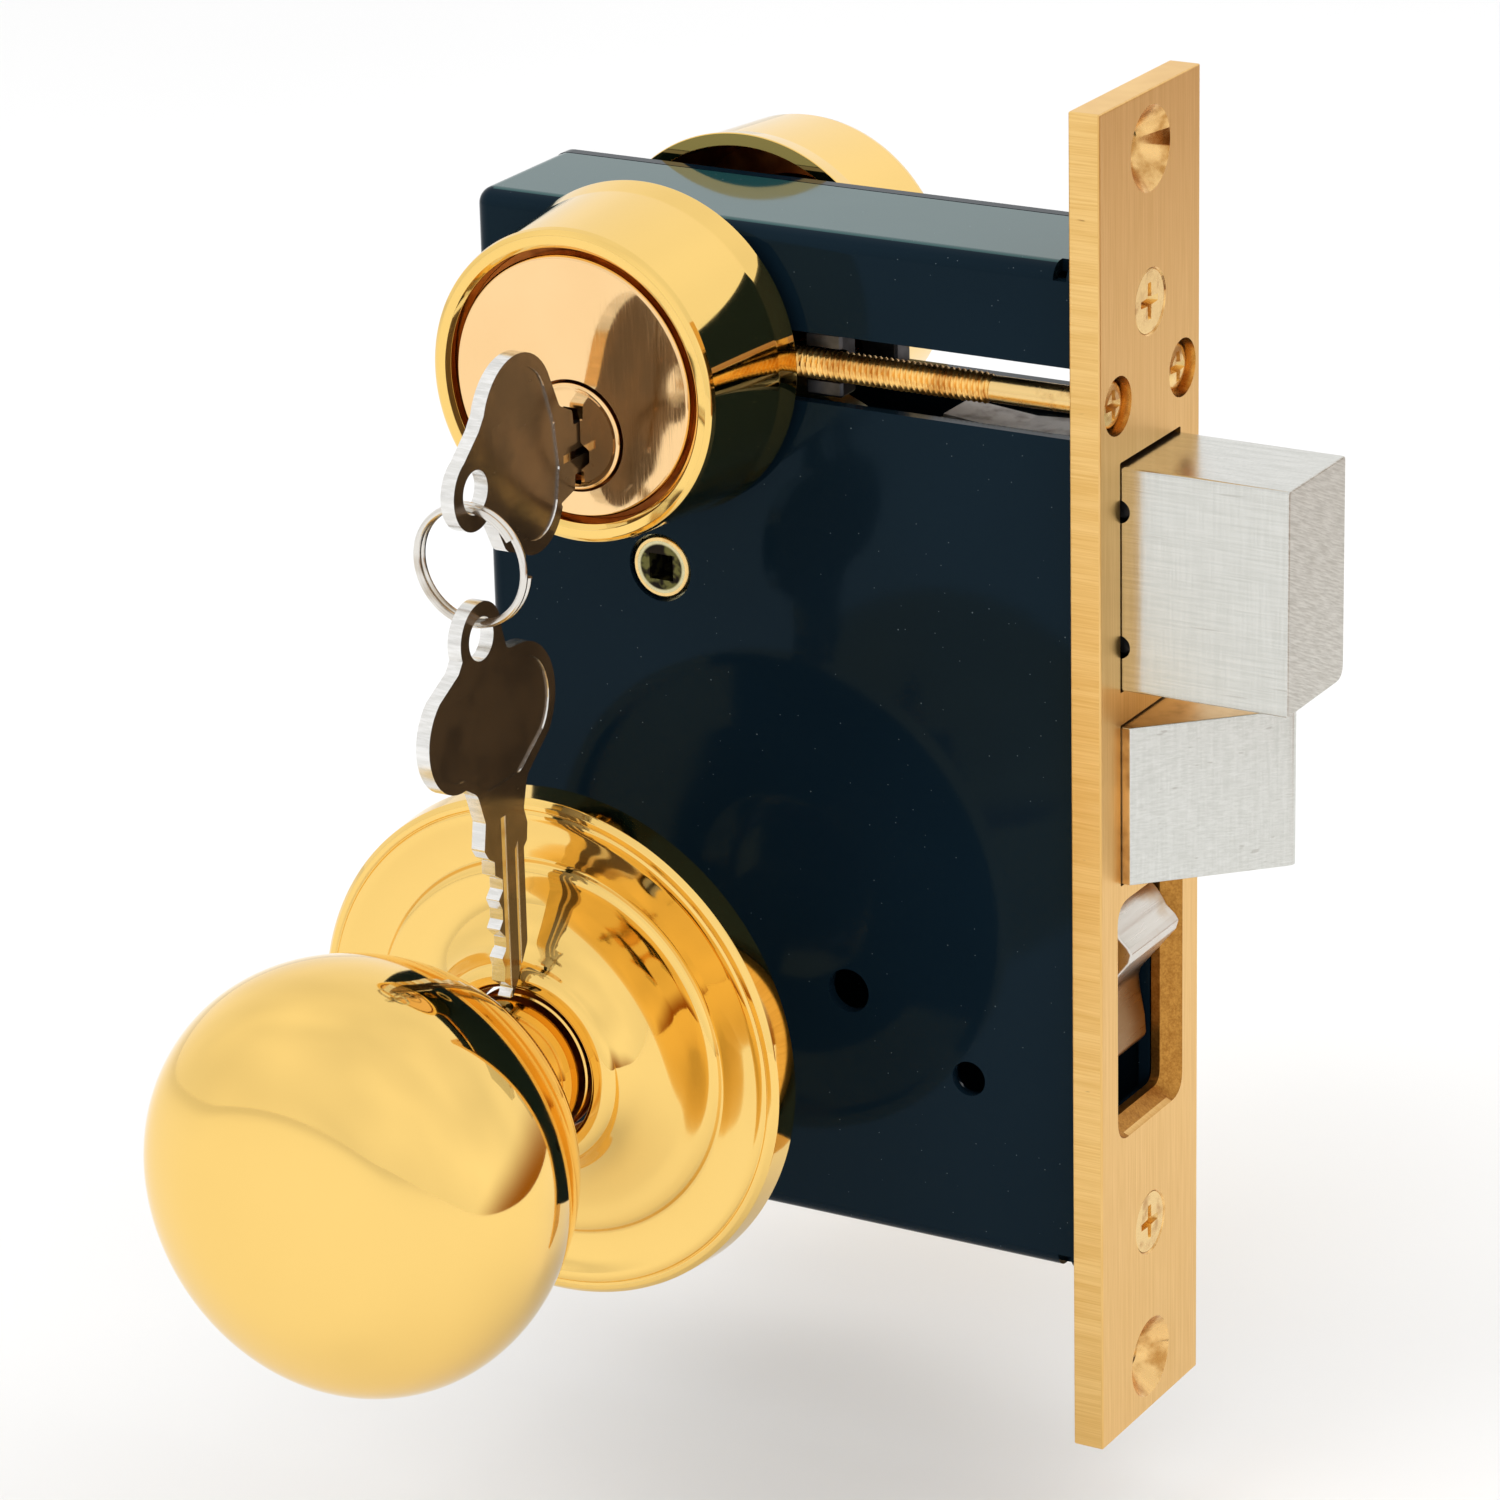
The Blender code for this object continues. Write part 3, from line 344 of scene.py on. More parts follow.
def key_nickel():
    """The blades' faces: worn nickel with long rub marks."""
    made = Finish("key_nickel", metallic=1.0)
    rub = made.noise(1.0, 3.0, 0.6, made.stretched((800.0, 2200.0, 300.0)))
    stain = made.ramped(made.noise(160.0, 3.0), 0.42, 0.70)
    made.feed("Base Color", made.blended(stain, colour(0.62, 0.53, 0.40), colour(0.40, 0.27, 0.13)))
    made.feed("Roughness", 0.13 + made.ramped(rub, 0.4, 0.8) * 0.14 + stain * 0.05)
    made.feed("Normal", made.bumps(rub, 0.01, 0.5))
    return made.material


def key_edges():
    """The keys' milled edges, bright and lined across."""
    made = Finish("key_edges", metallic=1.0)
    lines = made.noise(1.0, 2.0, 0.6, made.stretched((250.0, 1500.0, 1500.0)))
    made.feed("Base Color", made.blended(made.ramped(lines, 0.35, 0.7), colour(0.74, 0.73, 0.70), colour(0.86, 0.85, 0.83)))
    made.feed("Roughness", 0.16 + lines * 0.12)
    made.feed("Normal", made.bumps(lines, 0.008, 0.5))
    return made.material


def ring_nickel():
    made = Finish("ring_nickel", metallic=1.0)
    rub = made.noise(420.0, 3.0)
    stain = made.ramped(made.noise(150.0, 2.0), 0.5, 0.75)
    made.feed("Base Color", made.blended(stain, colour(0.74, 0.71, 0.66), colour(0.52, 0.45, 0.36)))
    made.feed("Roughness", 0.12 + rub * 0.14)
    made.feed("Normal", made.bumps(rub, 0.01, 0.4))
    return made.material


def rocker_nickel():
    """The rocker: worn satin plate, coppery where it is thin, with painted shade darkening its lower leg."""
    made = Finish("rocker_nickel", metallic=1.0)
    lines = made.noise(1.0, 3.0, 0.6, made.stretched((2600.0, 140.0, 2600.0)))
    thin = made.ramped(made.noise(110.0, 3.0), 0.44, 0.66)
    upright = (0.0, 0.0, 1.0)
    height = made.node("ShaderNodeVectorMath", {"operation": "DOT_PRODUCT"}, {0: made.place, 1: upright}, output="Value")
    # Painted shade: from a height of -29 mm down to -36 mm, the lower leg, sunk in the stop window, fades to dark
    # brown.
    leg = made.ramped(height, -29.0 * MM, -36.0 * MM)
    plate = made.blended(thin, colour(0.70, 0.66, 0.60), colour(0.56, 0.42, 0.28))
    made.feed("Base Color", made.blended(leg, plate, colour(0.30, 0.17, 0.07)))
    made.feed("Roughness", 0.20 + lines * 0.2)
    made.feed("Normal", made.bumps(lines, 0.02, 0.6))
    return made.material


def navy_enamel(name, gloss, tint, low, high):
    """The case's baked enamel: deep navy with orange peel, dust and rubbed spots."""
    made = Finish(name, roughness=0.1, specular_ior_level=gloss, specular_tint=colour(*tint))
    cloud = made.noise(16.0, 2.0)
    peel = made.noise(240.0, 2.0, 0.45)
    long = made.noise(32.0, 2.0, 0.4)
    haze = made.ramped(made.noise(48.0, 3.0), 0.5, 0.8)
    dust = (specks(made, 260.0, 0.035, 0.3) + specks(made, 520.0, 0.05, 2.1)).at_most(1.0)
    deep = made.blended(cloud, colour(*low), colour(*high))
    made.feed("Base Color", made.blended(dust * 0.7, deep, colour(0.14, 0.18, 0.20)))
    made.feed("Roughness", 0.07 + haze * 0.08 + dust * 0.4)
    under = made.bumps(long, 0.25, 0.2)
    made.feed("Normal", made.bumps(peel + dust * 0.6, 0.02, 0.25, under))
    return made.material


def hub_zinc(centre, reach):
    """The thumb-turn hub: yellow zinc, with painted shade as a dark disc in the middle of its ends."""
    made = Finish("hub_zinc", metallic=1.0)
    flat = made.node("ShaderNodeVectorMath", {"operation": "MULTIPLY"}, {0: made.place, 1: (1.0, 0.0, 1.0)})
    middle = (centre[0] * MM, 0.0, centre[1] * MM)
    away = made.node("ShaderNodeVectorMath", {"operation": "DISTANCE"}, {0: flat, 1: middle}, output="Value")
    # Painted shade: within the reach of the hub's axis, the zinc turns near black.
    hollow = made.ramped(away, reach * MM, reach * MM * 0.9)
    grain = made.noise(900.0, 3.0)
    stain = made.ramped(made.noise(500.0, 2.0), 0.45, 0.6)
    deep = made.blended(stain, colour(0.020, 0.016, 0.012), colour(0.16, 0.15, 0.05))
    zinc = made.blended(grain, colour(0.50, 0.44, 0.20), colour(0.76, 0.70, 0.46))
    made.feed("Base Color", made.blended(hollow, zinc, deep))
    made.feed("Roughness", 0.20 + grain * 0.15 + hollow * 0.25)
    made.feed("Normal", made.bumps(grain, 0.02, 0.5))
    return made.material


def plain_metal(name, low, high, grain=900.0, roughness=0.3, metallic=1.0, depth=0.02):
    """The inside pieces: stamped or turned metal with grain and stains."""
    made = Finish(name, metallic=metallic)
    fine = made.noise(grain, 3.0, 0.6)
    stain = made.ramped(made.noise(grain * 0.16, 3.0), 0.4, 0.7)
    made.feed("Base Color", made.blended(stain, colour(*high), colour(*low)))
    made.feed("Roughness", roughness + fine * 0.2)
    made.feed("Normal", made.bumps(fine, depth, 0.5))
    return made.material


BRUSHED_BRASS = brushed_brass()
SAWN_BRASS = sawn_brass()
CAST_BRASS = cast_brass()
DRILLED_BRASS = drilled_brass()
MIRROR_BRASS = mirror_brass()
FACE_BRASS = face_brass()
SCREW_BRASS = screw_brass()
SATIN_NICKEL = satin_nickel()
MILLED_NICKEL = milled_nickel()
KEY_PAINTED_REFLECTION = key_painted_reflection()
KEY_NICKEL = key_nickel()
KEY_EDGES = key_edges()
RING_NICKEL = ring_nickel()
ROCKER_NICKEL = rocker_nickel()
NAVY_ENAMEL = navy_enamel("navy_enamel", 0.10, (0.5, 0.8, 1.0), (0.0025, 0.0068, 0.0115), (0.0048, 0.0135, 0.0230))
# Painted sheen: a lighter, tealer and glossier copy of the enamel for the case's top faces, standing for the light
# that falls on them from above.
TOP_ENAMEL_PAINTED_SHEEN = navy_enamel("top_enamel_painted_sheen", 0.36, (0.6, 1.0, 1.0), (0.010, 0.046, 0.048), (0.015, 0.062, 0.064))
INSIDE_BRASS = plain_metal("inside_brass", (0.36, 0.20, 0.07), (0.74, 0.50, 0.24))
THREAD_BRASS = plain_metal("thread_brass", (0.62, 0.29, 0.06), (0.98, 0.62, 0.20), grain=1500.0, roughness=0.2)
BARE_STEEL = plain_metal("bare_steel", (0.22, 0.20, 0.18), (0.52, 0.51, 0.50))
YELLOW_ZINC = plain_metal("yellow_zinc", (0.40, 0.36, 0.12), (0.70, 0.66, 0.42), roughness=0.22)
DARK_STEEL = plain_metal("dark_steel", (0.03, 0.03, 0.03), (0.11, 0.11, 0.12), roughness=0.35)
SPRING_STEEL = plain_metal("spring_steel", (0.16, 0.14, 0.12), (0.42, 0.41, 0.40), grain=1400.0)
# Painted shade: a dark red-brown brass for the grooves, bores, keyways and gaps between parts, where shade falls.
GROOVE_SHADE = plain_metal("groove_painted_shade", (0.22, 0.055, 0.012), (0.45, 0.15, 0.035), roughness=0.35)

# ---------------------------------------------------------------- shapes, in millimetres


def keyed(a, b, along, axis):
    """A point from its two flat coordinates and its place along the axis, in X, Y, Z order."""
    if axis == "X":
        return (along, a, b)
    if axis == "Y":
        return (a, along, b)
    return (a, b, along)


def piece(name, points, faces, material=None, sharp=32.0):
    """A mesh object from points in millimetres, smooth but for its sharp edges."""
    mesh = bpy.data.meshes.new(name)
    mesh.from_pydata([Vector(point) * MM for point in points], [], faces)
    work = bmesh.new()
    work.from_mesh(mesh)
    bmesh.ops.recalc_face_normals(work, faces=work.faces)
    work.to_mesh(mesh)
    work.free()
    made = bpy.data.objects.new(name, mesh)
    bpy.context.scene.collection.objects.link(made)
    if material:
        mesh.materials.append(material)
    smooth(made, sharp, False)
    return made


def smooth(made, sharp=32.0, level=True):
    """Smooth shading with sharp edges kept; level keeps the large faces flat."""
    made.data.shade_smooth()
    made.data.set_sharp_from_angle(angle=math.radians(sharp))
    if level:
        step = made.modifiers.new("level", "WEIGHTED_NORMAL")
        step.keep_sharp = True
        step.weight = 90
        settled(made)


def settled(made):
    """Applies the modifiers to the mesh."""
    depsgraph = bpy.context.evaluated_depsgraph_get()
    depsgraph.update()
    mesh = bpy.data.meshes.new_from_object(made.evaluated_get(depsgraph))
    made.modifiers.clear()
    made.data = mesh


def combined(target, tools, operation):
    kept = len(target.data.materials)
    for tool in tools:
        step = target.modifiers.new(tool.name, "BOOLEAN")
        step.operation = operation
        step.solver = "MANIFOLD"
        step.object = tool
    settled(target)
    for face in target.data.polygons:
        if face.material_index >= kept:
            face.material_index = 0
    while len(target.data.materials) > kept:
        target.data.materials.pop()
    for tool in tools:
        bpy.data.objects.remove(tool, do_unlink=True)


def cut(target, *tools):
    combined(target, tools, "DIFFERENCE")


def join(target, *tools):
    combined(target, tools, "UNION")


def broken(made, width, segments=3, angle=35.0, sharp=32.0):
    """Rounds every edge sharper than the angle."""
    step = made.modifiers.new("broken", "BEVEL")
    step.width = width * MM
    step.segments = segments
    step.limit_method = "ANGLE"
    step.angle_limit = math.radians(angle)
    step.harden_normals = True
    step.miter_outer = "MITER_ARC"
    settled(made)
    return made


def eased(outline, radius, closed=True, steps=5):
    """Rounds an outline's corners. A point may give its own radius as a third number."""
    count = len(outline)
    found = []
    for i, corner in enumerate(outline):
        here = Vector(corner[:2])
        reach = corner[2] if len(corner) > 2 else radius
        if reach <= 0 or (not closed and i in (0, count - 1)):
            found.append(tuple(here))
            continue
        before = Vector(outline[i - 1][:2]) - here
        after = Vector(outline[(i + 1) % count][:2]) - here
        spread = before.angle(after, math.pi)
        if spread > math.radians(176) or before.length < 1e-6 or after.length < 1e-6:
            found.append(tuple(here))
            continue
        back = min(reach / math.tan(spread / 2), before.length * 0.48, after.length * 0.48)
        start = here + before.normalized() * back
        end = here + after.normalized() * back
        for k in range(steps + 1):
            t = k / steps
            found.append(tuple(start * (1 - t) ** 2 + here * 2 * t * (1 - t) + end * t * t))
    return found


def arc(centre, radius, start, end, steps=12):
    """Points along an arc, angles in degrees."""
    found = []
    for i in range(steps + 1):
        angle = math.radians(start + (end - start) * i / steps)
        found.append((centre[0] + radius * math.cos(angle), centre[1] + radius * math.sin(angle)))
    return found


def rounded(a, b, radius, steps=8):
    """A rectangle with round corners, from its (low, high) pairs."""
    corners = [(a[0], b[0]), (a[1], b[0]), (a[1], b[1]), (a[0], b[1])]
    return eased(corners, radius, steps=steps)


def prism(name, outline, axis, low, high, material=None):
    """A flat outline pushed along an axis."""
    count = len(outline)
    points = [keyed(a, b, low, axis) for a, b in outline]
    points += [keyed(a, b, high, axis) for a, b in outline]
    faces = [tuple(range(count)), tuple(range(2 * count - 1, count - 1, -1))]
    for i in range(count):
        j = (i + 1) % count
        faces.append((i, i + count, j + count, j))
    return piece(name, points, faces, material)


def block(name, x, y, z, material=None):
    outline = [(x[0], z[0]), (x[1], z[0]), (x[1], z[1]), (x[0], z[1])]
    return prism(name, outline, "Y", y[0], y[1], material)


def turned(name, profile, axis, centre, material=None, steps=160, sharp=32.0):
    """A lathe shape: profile holds (radius, place along the axis), closed or ending on the axis."""
    rings = []
    points = []
    for radius, along in profile:
        if radius < 1e-6:
            rings.append([len(points)])
            points.append(keyed(centre[0], centre[1], along, axis))
            continue
        ring = []
        for i in range(steps):
            angle = 2 * math.pi * i / steps
            ring.append(len(points))
            points.append(keyed(centre[0] + radius * math.cos(angle), centre[1] + radius * math.sin(angle), along, axis))
        rings.append(ring)
    pairs = list(zip(rings, rings[1:]))
    if len(rings[0]) > 1 and len(rings[-1]) > 1:
        pairs.append((rings[-1], rings[0]))
    faces = []
    for first, second in pairs:
        for i in range(steps):
            j = (i + 1) % steps
            if len(first) == 1:
                faces.append((first[0], second[j], second[i]))
            elif len(second) == 1:
                faces.append((first[i], first[j], second[0]))
            else:
                faces.append((first[i], first[j], second[j], second[i]))
    return piece(name, points, faces, material, sharp)


def peg(name, radius, axis, centre, low, high, steps=64, material=None):
    profile = [(0, low), (radius, low), (radius, high), (0, high)]
    return turned(name, profile, axis, centre, material, steps)


def sided(profile, side):
    """A profile whose places are distances from the lock's middle plane, put on one side of it."""
    return [(point[0], side * point[1]) + tuple(point[2:]) for point in profile]


def repainted(made, material, chosen):
    """Gives the faces that satisfy chosen(centre, normal), in millimetres, another finish."""
    made.data.materials.append(material)
    index = len(made.data.materials) - 1
    for face in made.data.polygons:
        if chosen(face.center / MM, face.normal):
            face.material_index = index


def placed(made, body, slot, *nodes):
    """The piece rides on a body and stands for CAD nodes, which it hides; the slot is not used."""
    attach(made, body)
    if nodes:
        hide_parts(*nodes)
    return made


# ---------------------------------------------------------------- places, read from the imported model


class Place:
    """A CAD node's box, in millimetres."""

    def __init__(self, node):
        low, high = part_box(node)
        self.low = low / MM
        self.high = high / MM
        self.mid = (self.low + self.high) / 2


PLATE = Place("faceplate")
PAN = Place("case_pan")
COVER = Place("case_cover")
CYLINDER = Place("collar_outer")
PLUG = Place("plug_outer")
KNOB = Place("knob_outer")
BOLT = Place("deadbolt")
LATCH = Place("latch_head")
THUMB = Place("thumb_hub")
RING = Place("split_ring")
HANGING = Place("hanging_key")
ROCKER_PIN = Place("rocker_pin")
CYLINDER_AXIS = (CYLINDER.mid.x, CYLINDER.mid.z)
PLUG_AXIS = (PLUG.mid.x, PLUG.mid.z)
KNOB_AXIS = (KNOB.mid.x, KNOB.mid.z)
ARMOUR_TOP_Z = Place("armour_screw_top").mid.z
ARMOUR_LOW_Z = Place("armour_screw_low").mid.z
SET_SCREW = Place("set_screw_inner")
GAP = 0.3
SHEET = 1.8
FOLD = 2.6
SIDES = (("outer", -1), ("inner", 1))

# ---------------------------------------------------------------- faceplate


def cross_tool(name, place, axis, mouth, depth, size, wide=0.5):
    """A driver's cross: tapered arms and a deeper middle."""
    a, b = place
    inner = mouth + depth
    outside = mouth - math.copysign(0.6, depth)
    outline = []
    for turn in range(4):
        ca = math.cos(math.pi / 2 * turn)
        sa = math.sin(math.pi / 2 * turn)
        for along, across in ((wide * 1.25, -wide * 1.25), (size, -wide), (size, wide)):
            outline.append((along * ca - across * sa, along * sa + across * ca))
    stations = []
    for along, scale in ((outside, 1.12), (mouth, 1.0), (inner, 0.52)):
        stations.append([keyed(a + p * scale, b + q * scale, along, axis) for p, q in outline])
    count = len(outline)
    points = [point for station in stations for point in station]
    faces = [tuple(range(count)), tuple(range(3 * count - 1, 2 * count - 1, -1))]
    for level in range(2):
        for i in range(count):
            j = (i + 1) % count
            base = level * count
            faces.append((base + i, base + i + count, base + j + count, base + j))
    return piece(name, points, faces)


def stop_window_tool():
    """The stop window: a wide cast chamfer on a round-cornered opening."""
    low = -54.2
    high = -16.6
    outer = rounded((-11.9, 11.9), (low - 1.2, high + 1.2), 4.4, 10)
    mouth = rounded((-10.7, 10.7), (low, high), 3.6, 10)
    eased_mouth = rounded((-10.3, 10.3), (low + 0.4, high - 0.4), 3.2, 10)
    throat = rounded((-8.8, 8.8), (low + 1.9, high - 1.9), 2.2, 10)
    stations = ((2.4, outer), (0.02, mouth), (-0.9, eased_mouth), (-2.8, throat), (-6.0, throat))
    count = len(mouth)
    points = []
    for x, outline in stations:
        points += [(x, y, z) for y, z in outline]
    last = len(stations) - 1
    faces = [tuple(range(count)), tuple(range((last + 1) * count - 1, last * count - 1, -1))]
    for level in range(last):
        base = level * count
        for i in range(count):
            j = (i + 1) % count
            faces.append((base + i, base + i + count, base + j + count, base + j))
    return piece("stop_tool", points, faces)


def faceplate():
    low, high = PLATE.low, PLATE.high
    plate = block("plate", (low.x, high.x), (low.y, high.y), (low.z, high.z), BRUSHED_BRASS)
    broken(plate, 0.28, 3)
    tools = [block("pocket_tool", (low.x - 4, low.x + 0.6), (-12.9, 12.9), (PAN.low.z - 0.4, PAN.high.z + 0.4))]
    for z in (93.1, -93.1):
        profile = [(0, -6), (2.7, -6), (2.7, -3.5), (3.0, -3.1), (6.3, 0.1), (6.8, 0.9), (0, 0.9)]
        tools.append(turned("door_screw_tool", profile, "X", (0, z), steps=96))
    for z in (ARMOUR_TOP_Z, ARMOUR_LOW_Z):
        profile = [(0, -6), (2.5, -6), (2.5, -2.6), (5.3, 0.4), (0, 0.4)]
        tools.append(turned("armour_tool", profile, "X", (0, z), steps=96))
    for side in (1, -1):
        tools.append(peg("set_screw_tool", 4.3, "X", (side * SET_SCREW.mid.y, SET_SCREW.mid.z), -6, 1, 96))
    for place in (BOLT, LATCH):
        y = (place.low.y - GAP, place.high.y + GAP)
        z = (place.low.z - GAP, place.high.z + GAP + (0.35 if place is BOLT else 0.0))
        tools.append(prism("window_tool", rounded(y, z, 0.35, 3), "X", -6, 1))
    tools.append(stop_window_tool())
    cut(plate, *tools)
    for material in (SAWN_BRASS, CAST_BRASS, DRILLED_BRASS):
        plate.data.materials.append(material)
    for face in plate.data.polygons:
        centre = face.center / MM
        on_face = centre.x > high.x - 0.29
        on_back = centre.x < low.x + 0.32
        on_side = abs(centre.y) > high.y - 0.29 or abs(centre.z) > high.z - 0.29
        if on_side and not on_face:
            face.material_index = 1
        elif not on_face and not on_back:
            face.material_index = 3 if centre.z > 53.0 or centre.z < -57.0 else 2
        elif on_face and abs(face.normal.x) < 0.35 and not on_side:
            face.material_index = 2
    smooth(plate, 26)
    placed(plate, "case", "satin_brass", "faceplate")


def armour_screw(name, z):
    """A flat countersunk screw, its head lying just under the face."""
    profile = [(0, -15.0), (1.7, -15.0), (1.9, -14.6), (1.9, -2.7), (4.55, -0.35), (4.7, -0.2), (4.55, -0.15), (0, -0.15)]
    screw = turned(name, eased(profile, 0.1, False, 3), "X", (0, z), SCREW_BRASS, 96)
    cut(screw, cross_tool("cross_tool", (0, z), "X", -0.15, -1.7, 2.7))
    smooth(screw, 26)
    placed(screw, "case", "satin_brass", "armour_screw_" + ("top" if z > 0 else "low"))


def threads(name, centre, radius, depth, pitch, low, high, material, sides=40, levels=7):
    """A threaded bar along X, as one screwed skin with closed ends."""
    rows = int((high - low) / pitch * levels)
    points = []
    faces = []
    for i in range(rows + 1):
        along = low + (high - low) * i / rows
        for k in range(sides):
            angle = 2 * math.pi * k / sides
            phase = (along / pitch - k / sides) % 1.0
            crest = 1 - abs(2 * phase - 1)
            fade = min(1.0, (high - along) / pitch, (along - low) / pitch)
            reach = radius - depth * (1 - crest * max(0.0, fade))
            points.append((along, centre[0] + reach * math.cos(angle), centre[1] + reach * math.sin(angle)))
    for i in range(rows):
        for k in range(sides):
            j = (k + 1) % sides
            faces.append((i * sides + k, i * sides + j, (i + 1) * sides + j, (i + 1) * sides + k))
    faces.append(tuple(range(sides)))
    faces.append(tuple(range((rows + 1) * sides - 1, rows * sides - 1, -1)))
    return piece(name, points, faces, material, 60)


def set_screw(name, side):
    """A cylinder set screw: a domed crossed head, a smooth shank and a long thread."""
    place = (side * SET_SCREW.mid.y, SET_SCREW.mid.z)
    profile = [(0, -19.8), (1.75, -19.8), (1.95, -19.4), (1.95, -3.6), (3.3, -3.6), (3.75, -3.1), (3.75, -1.9, 0.5)]
    profile += [(3.2, -1.05, 0.8), (2.0, -0.7, 1.2), (0, -0.62)]
    screw = turned(name, eased(profile, 0.15, False, 4), "X", place, SCREW_BRASS, 96)
    cut(screw, cross_tool("cross_tool", place, "X", -0.7, -1.5, 2.3))
    smooth(screw, 26)
    tag = "inner" if side > 0 else "outer"
    placed(screw, "case", "satin_brass", "set_screw_" + tag)
    bar = threads(name + "_thread", place, 2.3, 0.5, 0.9, -60.2, -19.5, THREAD_BRASS)
    placed(bar, "case", "satin_brass")


faceplate()
armour_screw("plate_screw_top", ARMOUR_TOP_Z)
armour_screw("plate_screw_low", ARMOUR_LOW_Z)
for tag, side in SIDES:
    set_screw("clamp_screw_" + tag, side)

# ---------------------------------------------------------------- case


def side_cuts(side):
    """The holes that the pan and the cover share."""
    wall = sorted((side * 9.0, side * 14.0))
    tools = [peg("cylinder_tool", 15.0, "Y", CYLINDER_AXIS, *wall, 128)]
    z = CYLINDER_AXIS[1]
    tools.append(prism("slot_tool", rounded((CYLINDER_AXIS[0], 2.0), (z - 5.2, z + 5.2), 0.8), "Y", *wall))
    tools.append(peg("thumb_tool", 5.2, "Y", (THUMB_AXIS[0], THUMB_AXIS[1]), *wall, 96))
    tools.append(peg("knob_tool", 10.2, "Y", KNOB_AXIS, *wall, 96))
    tools.append(peg("small_tool", 2.7, "Y", (-23.6, -47.6), *wall, 64))
    tools.append(peg("middle_tool", 3.4, "Y", (-43.6, -37.3), *wall, 64))
    return tools


THUMB_AXIS = (CYLINDER_AXIS[0], 24.4)


def folded_box(name, x, y, z, material):
    """A box whose folds are rounded: round its -Y face and down its rear corners."""
    made = block(name, x, y, z, material)
    mesh = made.data
    weights = mesh.attributes.new("bevel_weight_edge", "FLOAT", "EDGE")
    for edge in mesh.edges:
        first, second = (mesh.vertices[i].co / MM for i in edge.vertices)
        near = all(abs(p.y - y[0]) < 0.01 for p in (first, second))
        front = all(abs(p.x - x[1]) < 0.01 for p in (first, second))
        rear = all(abs(p.x - x[0]) < 0.01 for p in (first, second))
        if (near and not front) or (rear and abs(first.y - second.y) > 1):
            weights.data[edge.index].value = 1.0
    step = made.modifiers.new("folds", "BEVEL")
    step.width = FOLD * MM
    step.segments = 8
    step.limit_method = "WEIGHT"
    settled(made)
    return made


def case_pan():
    low, high = PAN.low, PAN.high
    pan = folded_box("pan", (low.x, high.x), (low.y, high.y), (low.z, high.z), NAVY_ENAMEL)
    room = block(
        "room_tool",
        (low.x + SHEET, high.x - SHEET),
        (low.y + SHEET, high.y + 4),
        (low.z + SHEET, high.z - SHEET),
    )
    tools = [room] + side_cuts(-1)
    x = (high.x - SHEET - 1, 1)
    for place in (BOLT, LATCH):
        y = (place.low.y - GAP, place.high.y + GAP)
        tools.append(block("window_tool", x, y, (place.low.z - GAP, place.high.z + GAP)))
    tools.append(block("stop_tool", x, (-8.8, 8.8), (-53.8, -17.0)))
    for z in (ARMOUR_TOP_Z, ARMOUR_LOW_Z):
        tools.append(peg("armour_tool", 2.7, "X", (0, z), *x, 64))
    for side in (1, -1):
        y = sorted((side * 7.4, side * 14.0))
        tools.append(block("set_tool", x, y, (SET_SCREW.mid.z - 3.0, SET_SCREW.mid.z + 3.0)))
    tools.append(block("notch_tool", (-9.0, -6.9), (-14, -9.4), (high.z - 2.4, high.z + 2)))
    tools.append(block("notch_tool", (-9.0, -6.9), (-14, -9.4), (low.z - 2, low.z + 2.4)))
    cut(pan, *tools)
    broken(pan, 0.22, 2, 50)
    # Painted sheen: the pan's upward faces take the lighter copy of the enamel.
    repainted(pan, TOP_ENAMEL_PAINTED_SHEEN, lambda c, n: n.z > 0.95 and c.z > high.z - 0.5)
    smooth(pan, 40)
    placed(pan, "case", "blue_enamel", "case_pan")


def case_cover():
    low, high = COVER.low, COVER.high
    outline = [(high.x, low.z, 0), (high.x, high.z, 0), (low.x, high.z, FOLD), (low.x, low.z, FOLD)]
    cover = prism("cover", eased(outline, 0, steps=8), "Y", low.y, high.y, NAVY_ENAMEL)
    tools = side_cuts(1)
    for tag in ("rear_top", "rear_low", "front_top", "front_low"):
        post = Place("post_" + tag).mid
        profile = [(0, 9), (1.7, 9), (1.7, 11.4), (3.5, 12.8), (0, 12.8)]
        tools.append(turned("post_tool", profile, "Y", (post.x, post.z), steps=64))
    cut(cover, *tools)
    broken(cover, 0.2, 2, 50)
    smooth(cover, 40)
    placed(cover, "case", "blue_enamel", "case_cover")


case_pan()
case_cover()

# ---------------------------------------------------------------- collars, cylinders and plugs


def collar(tag, side):
    profile = [
        (25.1, 14.6, 0.15), (24.9, 15.8, 1.0), (24.35, 18.5, 4.0), (23.2, 34.6, 0.5), (22.95, 35.5, 0.5),
        (22.3, 35.9, 0.4), (21.0, 35.9, 0.3), (20.3, 35.3, 0.3), (20.3, 32.2, 0.1), (15.1, 32.2, 0.1),
        (15.1, 30.4, 0.1), (20.4, 30.4, 0.1), (22.6, 19.0, 0.5), (23.1, 14.6, 0.1),
    ]
    ring = turned("collar_ring_" + tag, eased(sided(profile, side), 0.3, steps=6), "Y", CYLINDER_AXIS, MIRROR_BRASS, 192)
    # Painted shade: the collar's inner groove and bore take the dark groove brass.
    repainted(ring, GROOVE_SHADE, lambda c, n: abs(c.y) < 33.0 and (c.x - CYLINDER_AXIS[0]) ** 2 + (c.z - CYLINDER_AXIS[1]) ** 2 < 21.3 ** 2)
    smooth(ring, 30)
    placed(ring, "case", "polished_brass", "collar_" + tag)


